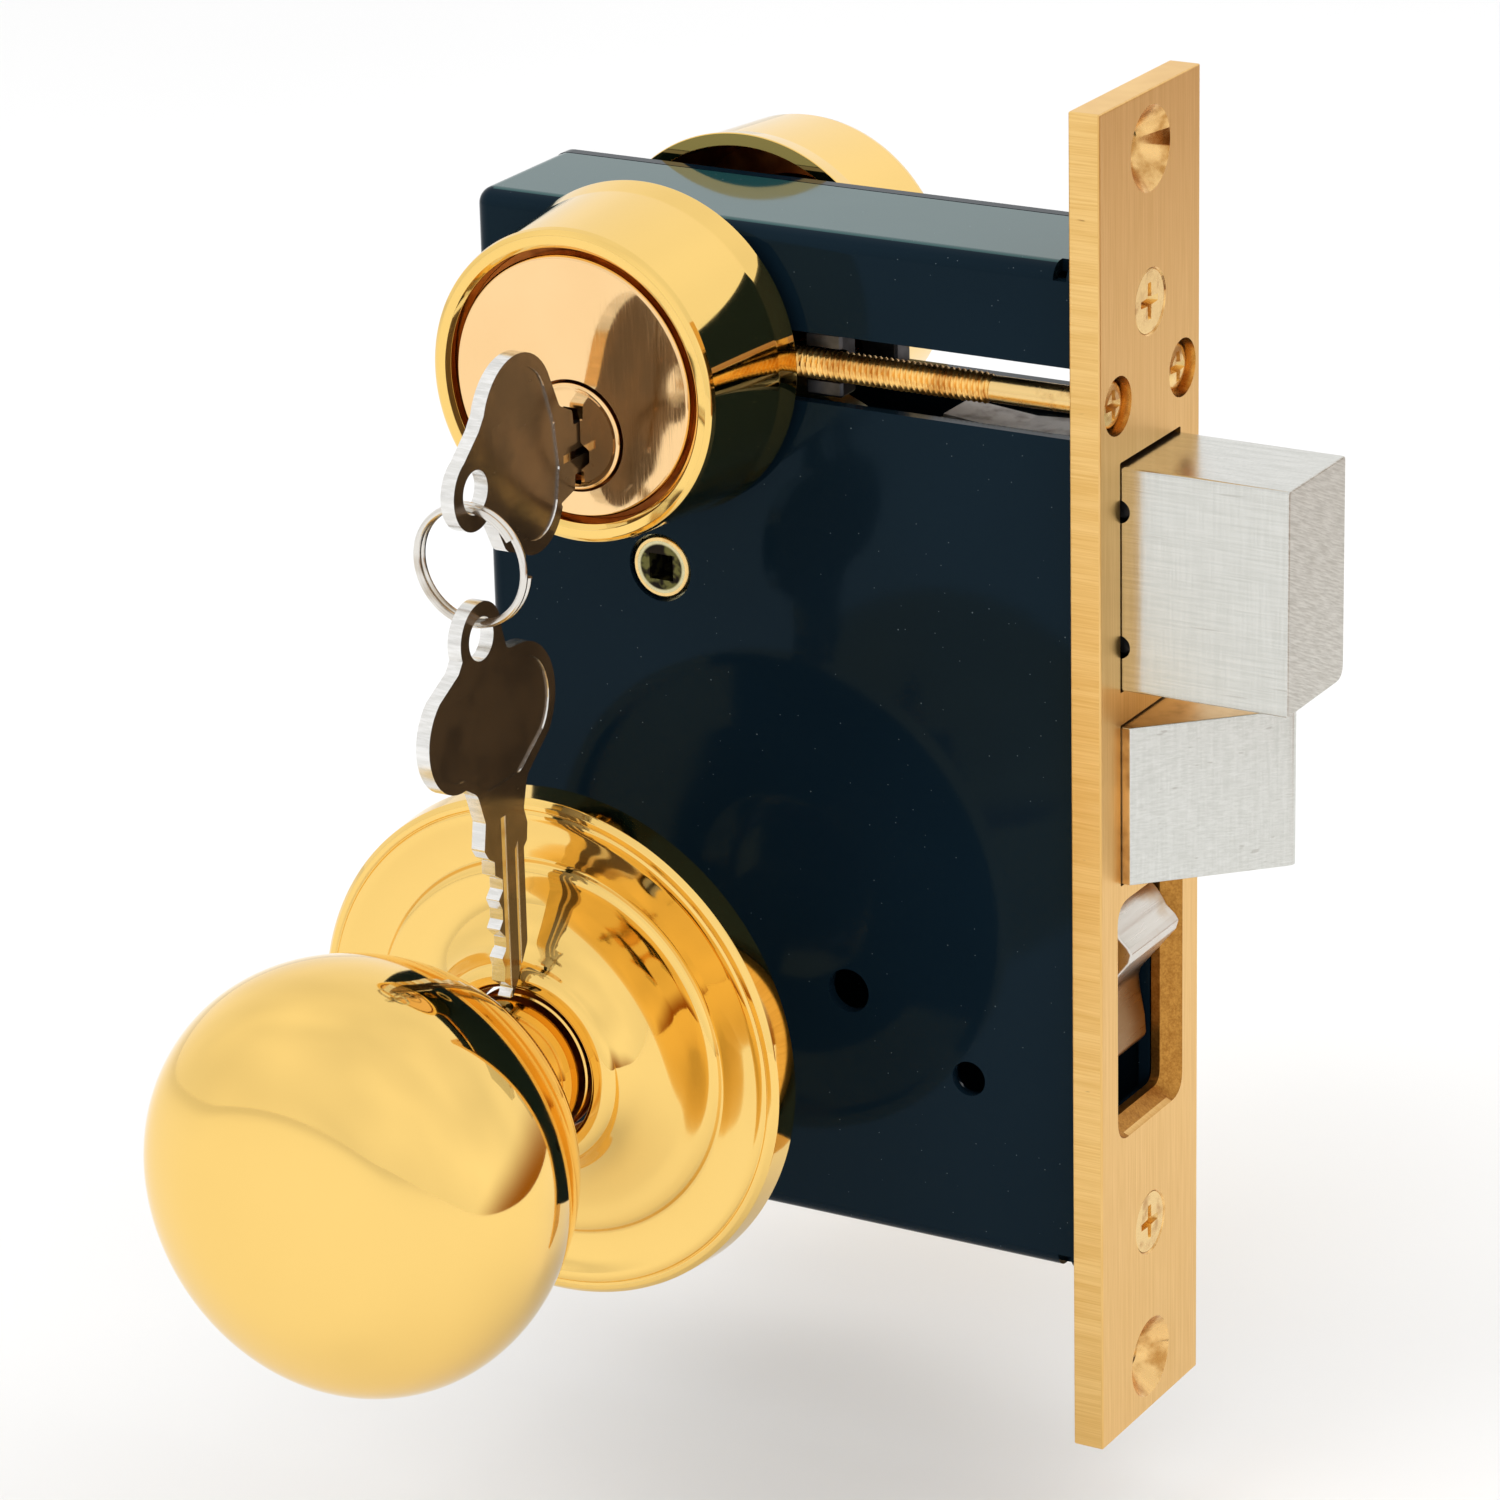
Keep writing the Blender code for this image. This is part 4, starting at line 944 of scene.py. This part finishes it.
def cylinder(tag, side):
    profile = [(0, 7.6), (14.7, 7.6), (14.7, 32.5), (19.3, 32.5), (19.3, 35.05, 0.3), (18.95, 35.5, 0.35), (0, 35.5)]
    body = turned("cylinder_head_" + tag, eased(sided(profile, side), 0.15, False, 6), "Y", CYLINDER_AXIS, FACE_BRASS, 192)
    bore = [(0, 6), (6.65, 6), (6.65, 33.2), (8.15, 33.2), (8.3, 35.2), (8.5, 37), (0, 37)]
    groove_y = sorted((side * 6.0, side * 27.0))
    z = CYLINDER_AXIS[1]
    cut(
        body,
        turned("bore_tool", sided(bore, side), "Y", PLUG_AXIS, steps=128),
        block("groove_tool", (-61.0, -57.0), groove_y, (z - 3.1, z + 3.1)),
    )
    # Painted shade: the bore round the plug takes the dark groove brass.
    repainted(body, GROOVE_SHADE, lambda c, n: abs(c.y) < 35.0 and (c.x - PLUG_AXIS[0]) ** 2 + (c.z - PLUG_AXIS[1]) ** 2 < 8.45 ** 2)
    smooth(body, 28)
    placed(body, "case", "satin_brass", "cylinder_" + tag)


def plug(tag, side, body):
    """The turning core, with a rounded lip and a warded keyway."""
    profile = [
        (0, 7.6), (6.35, 7.6), (6.35, 33.5), (7.9, 33.5, 0.1), (7.9, 35.85, 0.35), (7.5, 36.25, 0.4),
        (6.9, 35.85, 0.4), (0, 35.75),
    ]
    core = turned("plug_core_" + tag, eased(sided(profile, side), 0.2, False, 5), "Y", PLUG_AXIS, FACE_BRASS, 128)
    half = 1.4
    x0 = PLUG_AXIS[0]
    low = PLUG_AXIS[1] - 7.0
    high = PLUG_AXIS[1] + 4.3
    outline = [
        (-half, low, 0), (half, low, 0), (half, low + 2.2), (half + 1.4, low + 3.4), (half + 1.4, low + 5.2),
        (half, low + 6.2), (half, high - 1.5), (half - 0.5, high), (-half, high),
    ]
    outline = eased([(x0 + point[0],) + tuple(point[1:]) for point in outline], 0.3, steps=4)
    y = sorted((side * 12.0, side * 38.0))
    tap = sorted((side * 6.0, side * 11.6))
    cut(core, prism("keyway_tool", outline, "Y", *y), peg("tap_tool", 1.7, "Y", PLUG_AXIS, *tap, 48))
    # Painted shade: below its lip, the plug's sides and keyway walls take the dark groove brass.
    repainted(core, GROOVE_SHADE, lambda c, n: abs(c.y) < 34.6)
    smooth(core, 28)
    placed(core, body, "satin_brass", "plug_" + tag)


for tag, side in SIDES:
    collar(tag, side)
    cylinder(tag, side)
plug("outer", -1, "key_plug")
plug("inner", 1, "case")

# ---------------------------------------------------------------- rosettes and knobs


def rosette(tag, side):
    """A dished rose with a beaded rim and a flared boss round the knob's neck."""
    profile = [
        (39.0, 44.0, 0.15), (38.6, 48.2, 0.5), (37.9, 48.9, 0.3), (37.2, 48.95, 0.15),
        (36.9, 48.7, 0.1), (36.6, 49.0, 0.2), (36.0, 49.1, 0.2),
    ]
    flange = [(35.4, 49.0), (33.0, 48.4), (30.8, 48.05), (29.4, 47.95)]
    flare = [(29.1, 48.05), (28.6, 48.8), (27.4, 49.3), (24.0, 49.5), (20.6, 50.4), (18.0, 52.0), (16.4, 54.2), (15.8, 55.6)]
    inside = [
        (15.3, 56.5, 0.3), (14.2, 57.0, 0.4), (13.1, 57.0, 0.3), (12.4, 56.4, 0.4), (12.4, 52.4, 0.1), (11.7, 51.8, 0.1),
        (11.7, 50.2, 0.1), (15.0, 47.0, 1.0), (27.0, 45.4, 1.0), (36.4, 46.8, 0.3), (37.2, 44.0, 0.1),
    ]
    profile = eased(profile, 0.3, False, 7) + flowing(flange, 7) + flowing(flare, 7) + eased(inside, 0.3, False, 7)
    rose = turned("rose_" + tag, sided(profile, side), "Y", KNOB_AXIS, MIRROR_BRASS, 256, 42.0)
    # Painted shade: the inside of the boss round the knob's neck takes the dark groove brass.
    repainted(rose, GROOVE_SHADE, lambda c, n: abs(c.y) < 56.2 and (c.x - KNOB_AXIS[0]) ** 2 + (c.z - KNOB_AXIS[1]) ** 2 < 12.45 ** 2)
    placed(rose, "case", "polished_brass", "rosette_" + tag)


def knob(tag, side, body):
    """The hollow knob and its neck, with turned beads on the neck."""
    profile = [(0, 49.6), (10.2, 49.6), (10.2, 51.6, 0.2), (11.3, 52.4, 0.2), (11.3, 55.6, 0.2), (10.95, 55.9, 0.2)]
    profile += [(10.95, 56.5, 0.2), (11.3, 56.8, 0.2), (11.3, 64.6, 0.3), (11.55, 65.4, 0.8), (12.3, 67.6, 1.5)]
    profile += [(14.6, 70.4, 2.5)]
    crown = [(18.6, 73.6), (23.6, 78.8), (28.4, 86.4), (31.4, 96.0), (31.0, 104.6), (27.0, 111.8), (19.0, 116.4)]
    crown += [(9.5, 118.2), (0.0, 118.5)]
    profile = eased(profile, 0.2, False, 5) + flowing([(14.6, 70.4)] + crown, 9)[2:]
    made = turned("knob_" + tag + "_shell", sided(profile, side), "Y", KNOB_AXIS, MIRROR_BRASS, 256)
    half = 4.25
    x = (KNOB_AXIS[0] - half, KNOB_AXIS[0] + half)
    z = (KNOB_AXIS[1] - half, KNOB_AXIS[1] + half)
    hole = (KNOB_AXIS[0], side * 61.0)
    cut(
        made,
        block("square_tool", x, sorted((side * 40.0, side * 94.0)), z),
        peg("tap_tool", 2.1, "Z", hole, KNOB_AXIS[1] + 2.0, KNOB_AXIS[1] + 14.0, 64),
    )
    smooth(made, 32, False)
    placed(made, body, "polished_brass", "knob_" + tag)
    top = KNOB_AXIS[1] + 10.6
    profile = [(0, top - 6.2), (1.8, top - 6.2), (1.8, top - 0.25), (1.55, top), (0, top)]
    screw = turned("knob_grub_" + tag, eased(profile, 0.1, False, 3), "Z", hole, BARE_STEEL, 64)
    cut(screw, block("slot_tool", (hole[0] - 0.35, hole[0] + 0.35), (hole[1] - 3, hole[1] + 3), (top - 1.0, top + 2)))
    smooth(screw, 28)
    placed(screw, body, "bare_steel", "knob_screw_" + tag)


def flowing(points, steps):
    """A smooth curve through the points."""
    found = []
    beyond = points[-1] if points[-1][0] else (-points[-2][0], points[-2][1])
    ends = [points[0]] + list(points) + [beyond]
    for i in range(1, len(ends) - 2):
        p0, p1, p2, p3 = (Vector(ends[k]) for k in (i - 1, i, i + 1, i + 2))
        for k in range(steps):
            t = k / steps
            bend = (p1 * 2 + (p2 - p0) * t + (p0 * 2 - p1 * 5 + p2 * 4 - p3) * t * t)
            bend += (p1 * 3 - p0 - p2 * 3 + p3) * t * t * t
            found.append(tuple(bend / 2))
    found.append(tuple(points[-1]))
    return found


for tag, side in SIDES:
    rosette(tag, side)
    knob(tag, side, tag + "_knob")

# ---------------------------------------------------------------- thumb-turn hub


def thumb_rims():
    """The bright rims of the hub's two ends, standing in their holes."""
    for tag, side in SIDES:
        outer = THUMB.high.y
        profile = [(4.75, outer - 0.9), (4.75, outer - 0.25), (4.5, outer), (4.05, outer + 0.02), (3.75, outer - 0.2)]
        profile += [(3.75, outer - 0.9)]
        rim = turned("hub_rim_" + tag, eased(sided(profile, side), 0.08, steps=3), "Y", THUMB_AXIS, SCREW_BRASS, 96)
        placed(rim, "thumb_turn", "brass_insides")


thumb_rims()

# ---------------------------------------------------------------- bolts and rocker


def deadbolt():
    low, high = BOLT.low, BOLT.high
    outline = [(low.y, low.z, 0.45), (high.y, low.z, 2.4), (high.y, high.z, 0.8), (low.y, high.z, 0.45)]
    bolt = prism("dead_bolt", eased(outline, 0.5, steps=8), "X", low.x, high.x, SATIN_NICKEL)
    broken(bolt, 0.3, 3, 60)
    tools = [block("fork_tool", (-38, -20.0), (-2.5, 2.5), (20.0, 46.0))]
    for z in (Place("hard_pin_low").mid.z, Place("hard_pin_high").mid.z):
        tools.append(peg("pin_tool", 1.75, "Y", (-0.35, z), -12, 12, 48))
    for node in ("bolt_rivet_front", "bolt_rivet_rear"):
        rivet = Place(node).mid
        tools.append(peg("rivet_tool", 1.8, "Y", (rivet.x, rivet.z), -12, 12, 48))
    cut(bolt, *tools)
    repainted(bolt, MILLED_NICKEL, lambda c, n: c.x > high.x - 0.4 and n.x > 0.6)
    smooth(bolt, 30)
    placed(bolt, "deadbolt", "satin_nickel", "deadbolt")
    for tag in ("low", "high"):
        pin = Place("hard_pin_" + tag)
        profile = [(0, pin.low.y + 0.7), (1.2, pin.low.y + 0.7), (1.5, pin.low.y + 1.0), (1.5, pin.high.y - 1.0)]
        profile += [(1.2, pin.high.y - 0.7), (0, pin.high.y - 0.7)]
        rod = turned("drill_pin_" + tag, profile, "Y", (-0.35, pin.mid.z), DARK_STEEL, 48)
        placed(rod, "deadbolt", "dark_steel", "hard_pin_" + tag)


def latch():
    low, high = LATCH.low, LATCH.high
    outline = [
        (low.x, low.y, 0.3), (1.3, low.y, 0.4), (18.15, 7.4, 0.8), (18.85, 8.2, 0.8), (high.x, 8.9, 0.5),
        (18.55, high.y, 0.4), (low.x, high.y, 0.3),
    ]
    head = prism("latch_bolt", eased(outline, 0.3, steps=5), "Z", low.z, high.z, SATIN_NICKEL)
    broken(head, 0.35, 3, 60)
    cross = Place("latch_cross_pin").mid
    rod = (0, -1.6)
    cut(
        head,
        peg("socket_tool", 3.3, "X", rod, -24, -9.7, 64),
        peg("cross_tool", 1.5, "Z", (cross.x, cross.y), low.z - 2, high.z + 2, 48),
    )
    repainted(head, INSIDE_BRASS, lambda c, n: n.z > 0.8 or (n.y < -0.9 and c.x < 3.0))
    smooth(head, 30)
    placed(head, "latch", "satin_nickel", "latch_head")


def rocker():
    """The stop's rocker: a crowned upper lobe with a two-line step, and a thin lower leg."""
    outline = arc((-9.5, -26.9), 9.2, 100, 25, 24)
    outline += [
        (0.3, -24.3, 0.4), (0.9, -25.2, 0.5), (0.5, -26.6, 0.5), (-5.6, -34.2, 3.0), (-5.4, -37.0, 2.0),
        (-4.6, -41.4, 2.0), (-4.4, -44.6, 1.5), (-6.4, -46.2, 1.2), (-8.4, -44.4, 1.2), (-9.6, -39.6, 2.0),
        (-12.6, -35.4, 2.0), (-13.8, -28.4, 1.5), (-12.7, -25.6, 1.0),
    ]
    made = prism("rocker", eased(outline, 0.0, steps=6), "Y", -7.8, 7.8, ROCKER_NICKEL)
    pin = ROCKER_PIN.mid
    broken(made, 0.4, 3, 60)
    cut(
        made,
        peg("bore_tool", 1.8, "Y", (pin.x, pin.z), -10, 10, 48),
        block("back_tool", (-16.5, -9.8), (-12, -2.9), (-24.8, -15.0)),
    )
    smooth(made, 30)
    placed(made, "rocker", "satin_nickel", "stop_rocker")


deadbolt()
latch()
rocker()

# ---------------------------------------------------------------- keys and ring


def blade_edge(start, end, sign):
    """The bitted edge of a blade lying along the first coordinate."""
    length = end - start
    cuts = (0.0, 0.10, 0.16, 0.24, 0.30, 0.38, 0.46, 0.52, 0.60, 0.68, 0.74, 0.82, 0.92, 1.0)
    depth = (0.0, 0.0, 1.9, 1.9, 0.7, 1.6, 1.6, 0.6, 2.3, 2.3, 1.0, 1.7, 1.4, 3.6)
    return [(start + length * t, sign * (3.9 - d)) for t, d in zip(cuts, depth)]


def key(name, outline, bow, hole, grooves, on_blade, body, node):
    """A flat key: rounded bow with a sunk panel on both faces, a hole and milled grooves."""
    x = (HANGING.mid.x - 1.1, HANGING.mid.x + 1.1)
    made = prism(name, outline, "X", *x, KEY_EDGES)
    tools = [peg("hole_tool", 3.2, "X", hole, x[0] - 3, x[1] + 3, 64)]
    for low, high in ((x[0] - 2, x[0] + 0.3), (x[1] - 0.3, x[1] + 2)):
        tools.append(prism("bow_tool", bow, "X", low, high))
        for groove in grooves:
            tools.append(prism("groove_tool", groove, "X", low + (0.2 if low > x[0] else -0.2), high + (-0.2 if low < x[0] else 0.2)))
    cut(made, *tools)
    broken(made, 0.14, 2, 50)
    # Painted reflection: the flat faces take the dark bronze tones of a mirrored dark surrounding; the blades' faces
    # then take nickel.
    repainted(made, KEY_PAINTED_REFLECTION, lambda c, n: abs(n.x) > 0.9)
    repainted(made, KEY_NICKEL, lambda c, n: abs(n.x) > 0.9 and on_blade(c))
    smooth(made, 28)
    placed(made, body, "satin_nickel", node)


def coil(name, axis, centre, reach, wire, turns, along, start, steps, material, sides=14):
    """Round wire wound about an axis, with flat ends."""
    count = int(turns * steps)
    points = []
    faces = []
    for i in range(count + 1):
        angle = 2 * math.pi * i / steps + start
        middle = along[0] + (along[1] - along[0]) * i / count
        for k in range(sides):
            turn = 2 * math.pi * k / sides
            out = reach + wire * math.cos(turn)
            a = centre[0] + out * math.cos(angle)
            b = centre[1] + out * math.sin(angle)
            points.append(keyed(a, b, middle + wire * math.sin(turn), axis))
    for i in range(count):
        for k in range(sides):
            j = (k + 1) % sides
            faces.append((i * sides + k, i * sides + j, (i + 1) * sides + j, (i + 1) * sides + k))
    faces.append(tuple(range(sides)))
    faces.append(tuple(range(count * sides + sides - 1, count * sides - 1, -1)))
    return piece(name, points, faces, material, 60)


def latch_spring():
    """The latch's coil spring, built at one length; the real spring shortens as the latch goes in."""
    spring = Place("latch_spring")
    along = (spring.low.x + 0.5, spring.high.x - 0.5)
    radius = (spring.high.z - spring.low.z) / 2 - 0.5
    made = coil("spring_coil", "X", (spring.mid.y, spring.mid.z), radius, 0.5, 8, along, 0.0, 40, SPRING_STEEL, 10)
    placed(made, "case", "spring_steel", "latch_spring")
    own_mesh(made)


latch_spring()


def keys():
    y0 = RING.mid.y
    wire = 0.55
    reach = 8.6
    z0 = HANGING.high.z - 5.32
    ring_z = z0 + reach + 2.15
    outline = arc((y0, z0), 5.4, 200, 0, 24)
    outline += [(y0 + 6.6, z0 - 3.6, 1.5)]
    outline += arc((y0 + 9.6, z0 - 13.2), 9.4, 84, -40, 18)
    outline += [(y0 + 10.6, z0 - 24.0, 2.0), (y0 + 9.4, z0 - 28.6, 1.2), (y0 + 10.2, z0 - 31.0, 0.8)]
    outline += [(y0 + 9.9, z0 - 33.6, 0.4), (y0 + 9.0, z0 - 34.4, 0.3), (y0 + 9.0, z0 - 49.0, 2.0)]
    outline += [(y0 + 6.1, z0 - 54.0, 1.0), (y0 + 4.6, z0 - 56.0, 0.5), (y0 + 3.6, z0 - 56.0, 0.3)]
    outline += [(y0 + 5.0 + a, z, 0.25) for z, a in reversed(blade_edge(z0 - 34.0, z0 - 54.6, -1))]
    outline += [(y0 - 0.4, z0 - 33.0, 0.5), (y0 - 1.4, z0 - 31.6, 0.8), (y0 - 0.8, z0 - 27.4, 1.0)]
    outline += [(y0 - 2.6, z0 - 22.6, 2.5)]
    outline += arc((y0 - 6.2, z0 - 12.6), 8.3, 275, 128, 18)
    outline += [(y0 - 6.2, z0 - 3.4, 1.5)]
    outline = eased(outline, 0.0, steps=5)
    bow = [(y0 - 3.0, z0 - 7.0), (y0 + 3.0, z0 - 6.6)]
    bow += arc((y0 + 9.6, z0 - 13.4), 7.6, 90, -40, 12)
    bow += [(y0 + 8.8, z0 - 22.8), (y0 + 0.4, z0 - 23.0)]
    bow += arc((y0 - 6.0, z0 - 12.8), 6.6, 275, 125, 12)
    bow = eased(bow, 2.0, steps=4)
    grooves = [[(y0 + 3.2, z0 - 28.0), (y0 + 4.4, z0 - 28.0), (y0 + 4.4, z0 - 56.5), (y0 + 3.2, z0 - 56.5)]]
    grooves.append([(y0 + 6.6, z0 - 34.0), (y0 + 7.4, z0 - 33.0), (y0 + 7.4, z0 - 54.5), (y0 + 6.6, z0 - 54.5)])
    key("second_key", outline, bow, (y0, z0), grooves, lambda c: c.z < z0 - 25.5, "hanging_key", "hanging_key")

    first = Place("key_in_plug")
    plug_z = PLUG_AXIS[1]
    hole_z = ring_z + reach + 2.15
    outline = [(y, plug_z - 1.2 + min(z, 3.4), 0.25) for y, z in blade_edge(-37.0, first.high.y, 1)]
    outline += [(-13.4, plug_z - 3.2, 0.3), (-15.6, plug_z - 5.2, 0.5), (-37.0, plug_z - 5.2, 0.3)]
    outline += [(-37.2, plug_z - 7.4, 0.5), (-41.0, plug_z - 8.4, 0.5)]
    outline += arc((-47.6, plug_z - 6.4), 7.4, -20, -105, 14)
    outline += [(-56.0, plug_z - 11.0, 2.5), (-58.4, plug_z - 6.6, 1.5)]
    outline += arc((y0, hole_z), 5.6, -62, -242, 24)
    outline += [(-62.0, plug_z + 8.2, 1.5)]
    outline += arc((-51.6, plug_z + 7.2), 9.4, 162, 30, 18)
    outline += [(-40.6, plug_z + 6.0, 1.5), (-37.3, plug_z + 4.4, 0.5)]
    outline = eased(outline, 0.0, steps=5)
    bow = arc((-51.4, plug_z + 7.0), 7.6, 165, 25, 10)
    bow += [(-42.2, plug_z + 4.0), (-41.2, plug_z - 3.0)]
    bow += arc((-47.4, plug_z - 6.2), 5.6, -15, -110, 8)
    bow += [(-54.8, plug_z - 7.6), (-57.0, plug_z - 2.0), (-58.6, plug_z + 5.0)]
    bow = eased(bow, 2.0, steps=4)
    grooves = [[(-14.0, plug_z - 1.6), (-40.0, plug_z - 1.6), (-40.0, plug_z - 2.8), (-14.0, plug_z - 2.8)]]
    key("first_key", outline, bow, (y0, hole_z), grooves, lambda c: c.y > -39.5, "key_plug", "key_in_plug")

    made = coil("key_ring", "Y", (RING.mid.x, ring_z), reach, wire, 1.9, (y0 - 1.1, y0 + 1.1), 0.6, 72, RING_NICKEL)
    placed(made, "ring", "satin_nickel", "split_ring")


keys()

# ---------------------------------------------------------------- CAD pieces that keep their shape

KEPT = {
    "post_": DARK_STEEL, "cover_screw_": BARE_STEEL, "faceplate_lug": DARK_STEEL, "set_screw_lug": DARK_STEEL,
    "cam_outer": DARK_STEEL, "cam_inner": DARK_STEEL, "cam_screw": BARE_STEEL, "hub_": INSIDE_BRASS,
    "spindle_": BARE_STEEL, "hard_pin": DARK_STEEL, "bolt_tail": YELLOW_ZINC, "bolt_rivet": BARE_STEEL,
    "thumb_hub": hub_zinc(THUMB_AXIS, 3.7), "drag_spring": SPRING_STEEL, "latch_cross": BARE_STEEL, "latch_tail": BARE_STEEL,
    "latch_guide": YELLOW_ZINC, "latch_spring": SPRING_STEEL, "rocker_pin": BARE_STEEL, "stop_slide": BARE_STEEL,
    "stop_click": SPRING_STEEL,
}
for node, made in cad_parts.items():
    for start, material in KEPT.items():
        if node.startswith(start):
            for material_slot in made.material_slots:
                material_slot.material = material

# ---------------------------------------------------------------- room


def floor():
    """A wide pale sheet under the lock."""
    z = PLATE.low.z - 17.5
    half = 6000.0
    right = 380.0
    points = [(-half, -half, z), (right, -half, z), (right, half, z), (-half, half, z)]
    made = piece("floor", points, [(0, 1, 2, 3)])
    pale = Finish("floor_paper", roughness=0.7, specular_ior_level=0.2)
    tone = pale.noise(3.0, 2.0)
    pale.feed("Base Color", pale.blended(tone, colour(0.82, 0.82, 0.82), colour(0.85, 0.85, 0.85)))
    made.data.materials.append(pale.material)


def room_light():
    """A pale room, darker and warmer low down behind the lock."""
    world = bpy.data.worlds.new("room")
    bpy.context.scene.world = world
    world.use_nodes = True
    tree = world.node_tree
    place = tree.nodes.new("ShaderNodeTexCoord")
    aim = tree.nodes.new("ShaderNodeVectorMath")
    aim.operation = "DOT_PRODUCT"
    aim.inputs[1].default_value = (-0.35, -0.35, 0.87)
    tree.links.new(place.outputs["Generated"], aim.inputs[0])
    step = tree.nodes.new("ShaderNodeMapRange")
    step.interpolation_type = "SMOOTHSTEP"
    step.inputs["From Min"].default_value = -0.60
    step.inputs["From Max"].default_value = -0.25
    tree.links.new(aim.outputs["Value"], step.inputs["Value"])
    mix = tree.nodes.new("ShaderNodeMix")
    mix.data_type = "RGBA"
    mix.inputs[6].default_value = (0.34, 0.14, 0.025, 1.0)
    tree.links.new(step.outputs[0], mix.inputs[0])
    cloud = tree.nodes.new("ShaderNodeTexNoise")
    cloud.inputs["Scale"].default_value = 1.5
    cloud.inputs["Detail"].default_value = 1.0
    tree.links.new(place.outputs["Generated"], cloud.inputs["Vector"])
    tone = tree.nodes.new("ShaderNodeMix")
    tone.data_type = "RGBA"
    tone.inputs[6].default_value = (0.84, 0.84, 0.84, 1.0)
    tone.inputs[7].default_value = (1.20, 1.20, 1.20, 1.0)
    tree.links.new(cloud.outputs["Fac"], tone.inputs[0])
    tree.links.new(tone.outputs[2], mix.inputs[7])
    seen = tree.nodes.new("ShaderNodeLightPath")
    plain = tree.nodes.new("ShaderNodeMix")
    plain.data_type = "RGBA"
    plain.inputs[7].default_value = (1.0, 1.0, 1.0, 1.0)
    tree.links.new(seen.outputs["Is Camera Ray"], plain.inputs[0])
    tree.links.new(mix.outputs[2], plain.inputs[6])
    tree.links.new(plain.outputs[2], tree.nodes["Background"].inputs["Color"])
    tree.nodes["Background"].inputs["Strength"].default_value = 1.0


floor()
room_light()
soft_lamp("key_lamp", -35.0, 48.0, 1.3, (0.9, 0.9), 3.4)
soft_lamp("fill_lamp", 75.0, 35.0, 1.5, (0.8, 1.1), 3.4)
soft_lamp("back_lamp", 165.0, 60.0, 1.4, (1.0, 0.7), 3.6)
bpy.context.scene.view_settings.view_transform = "Standard"
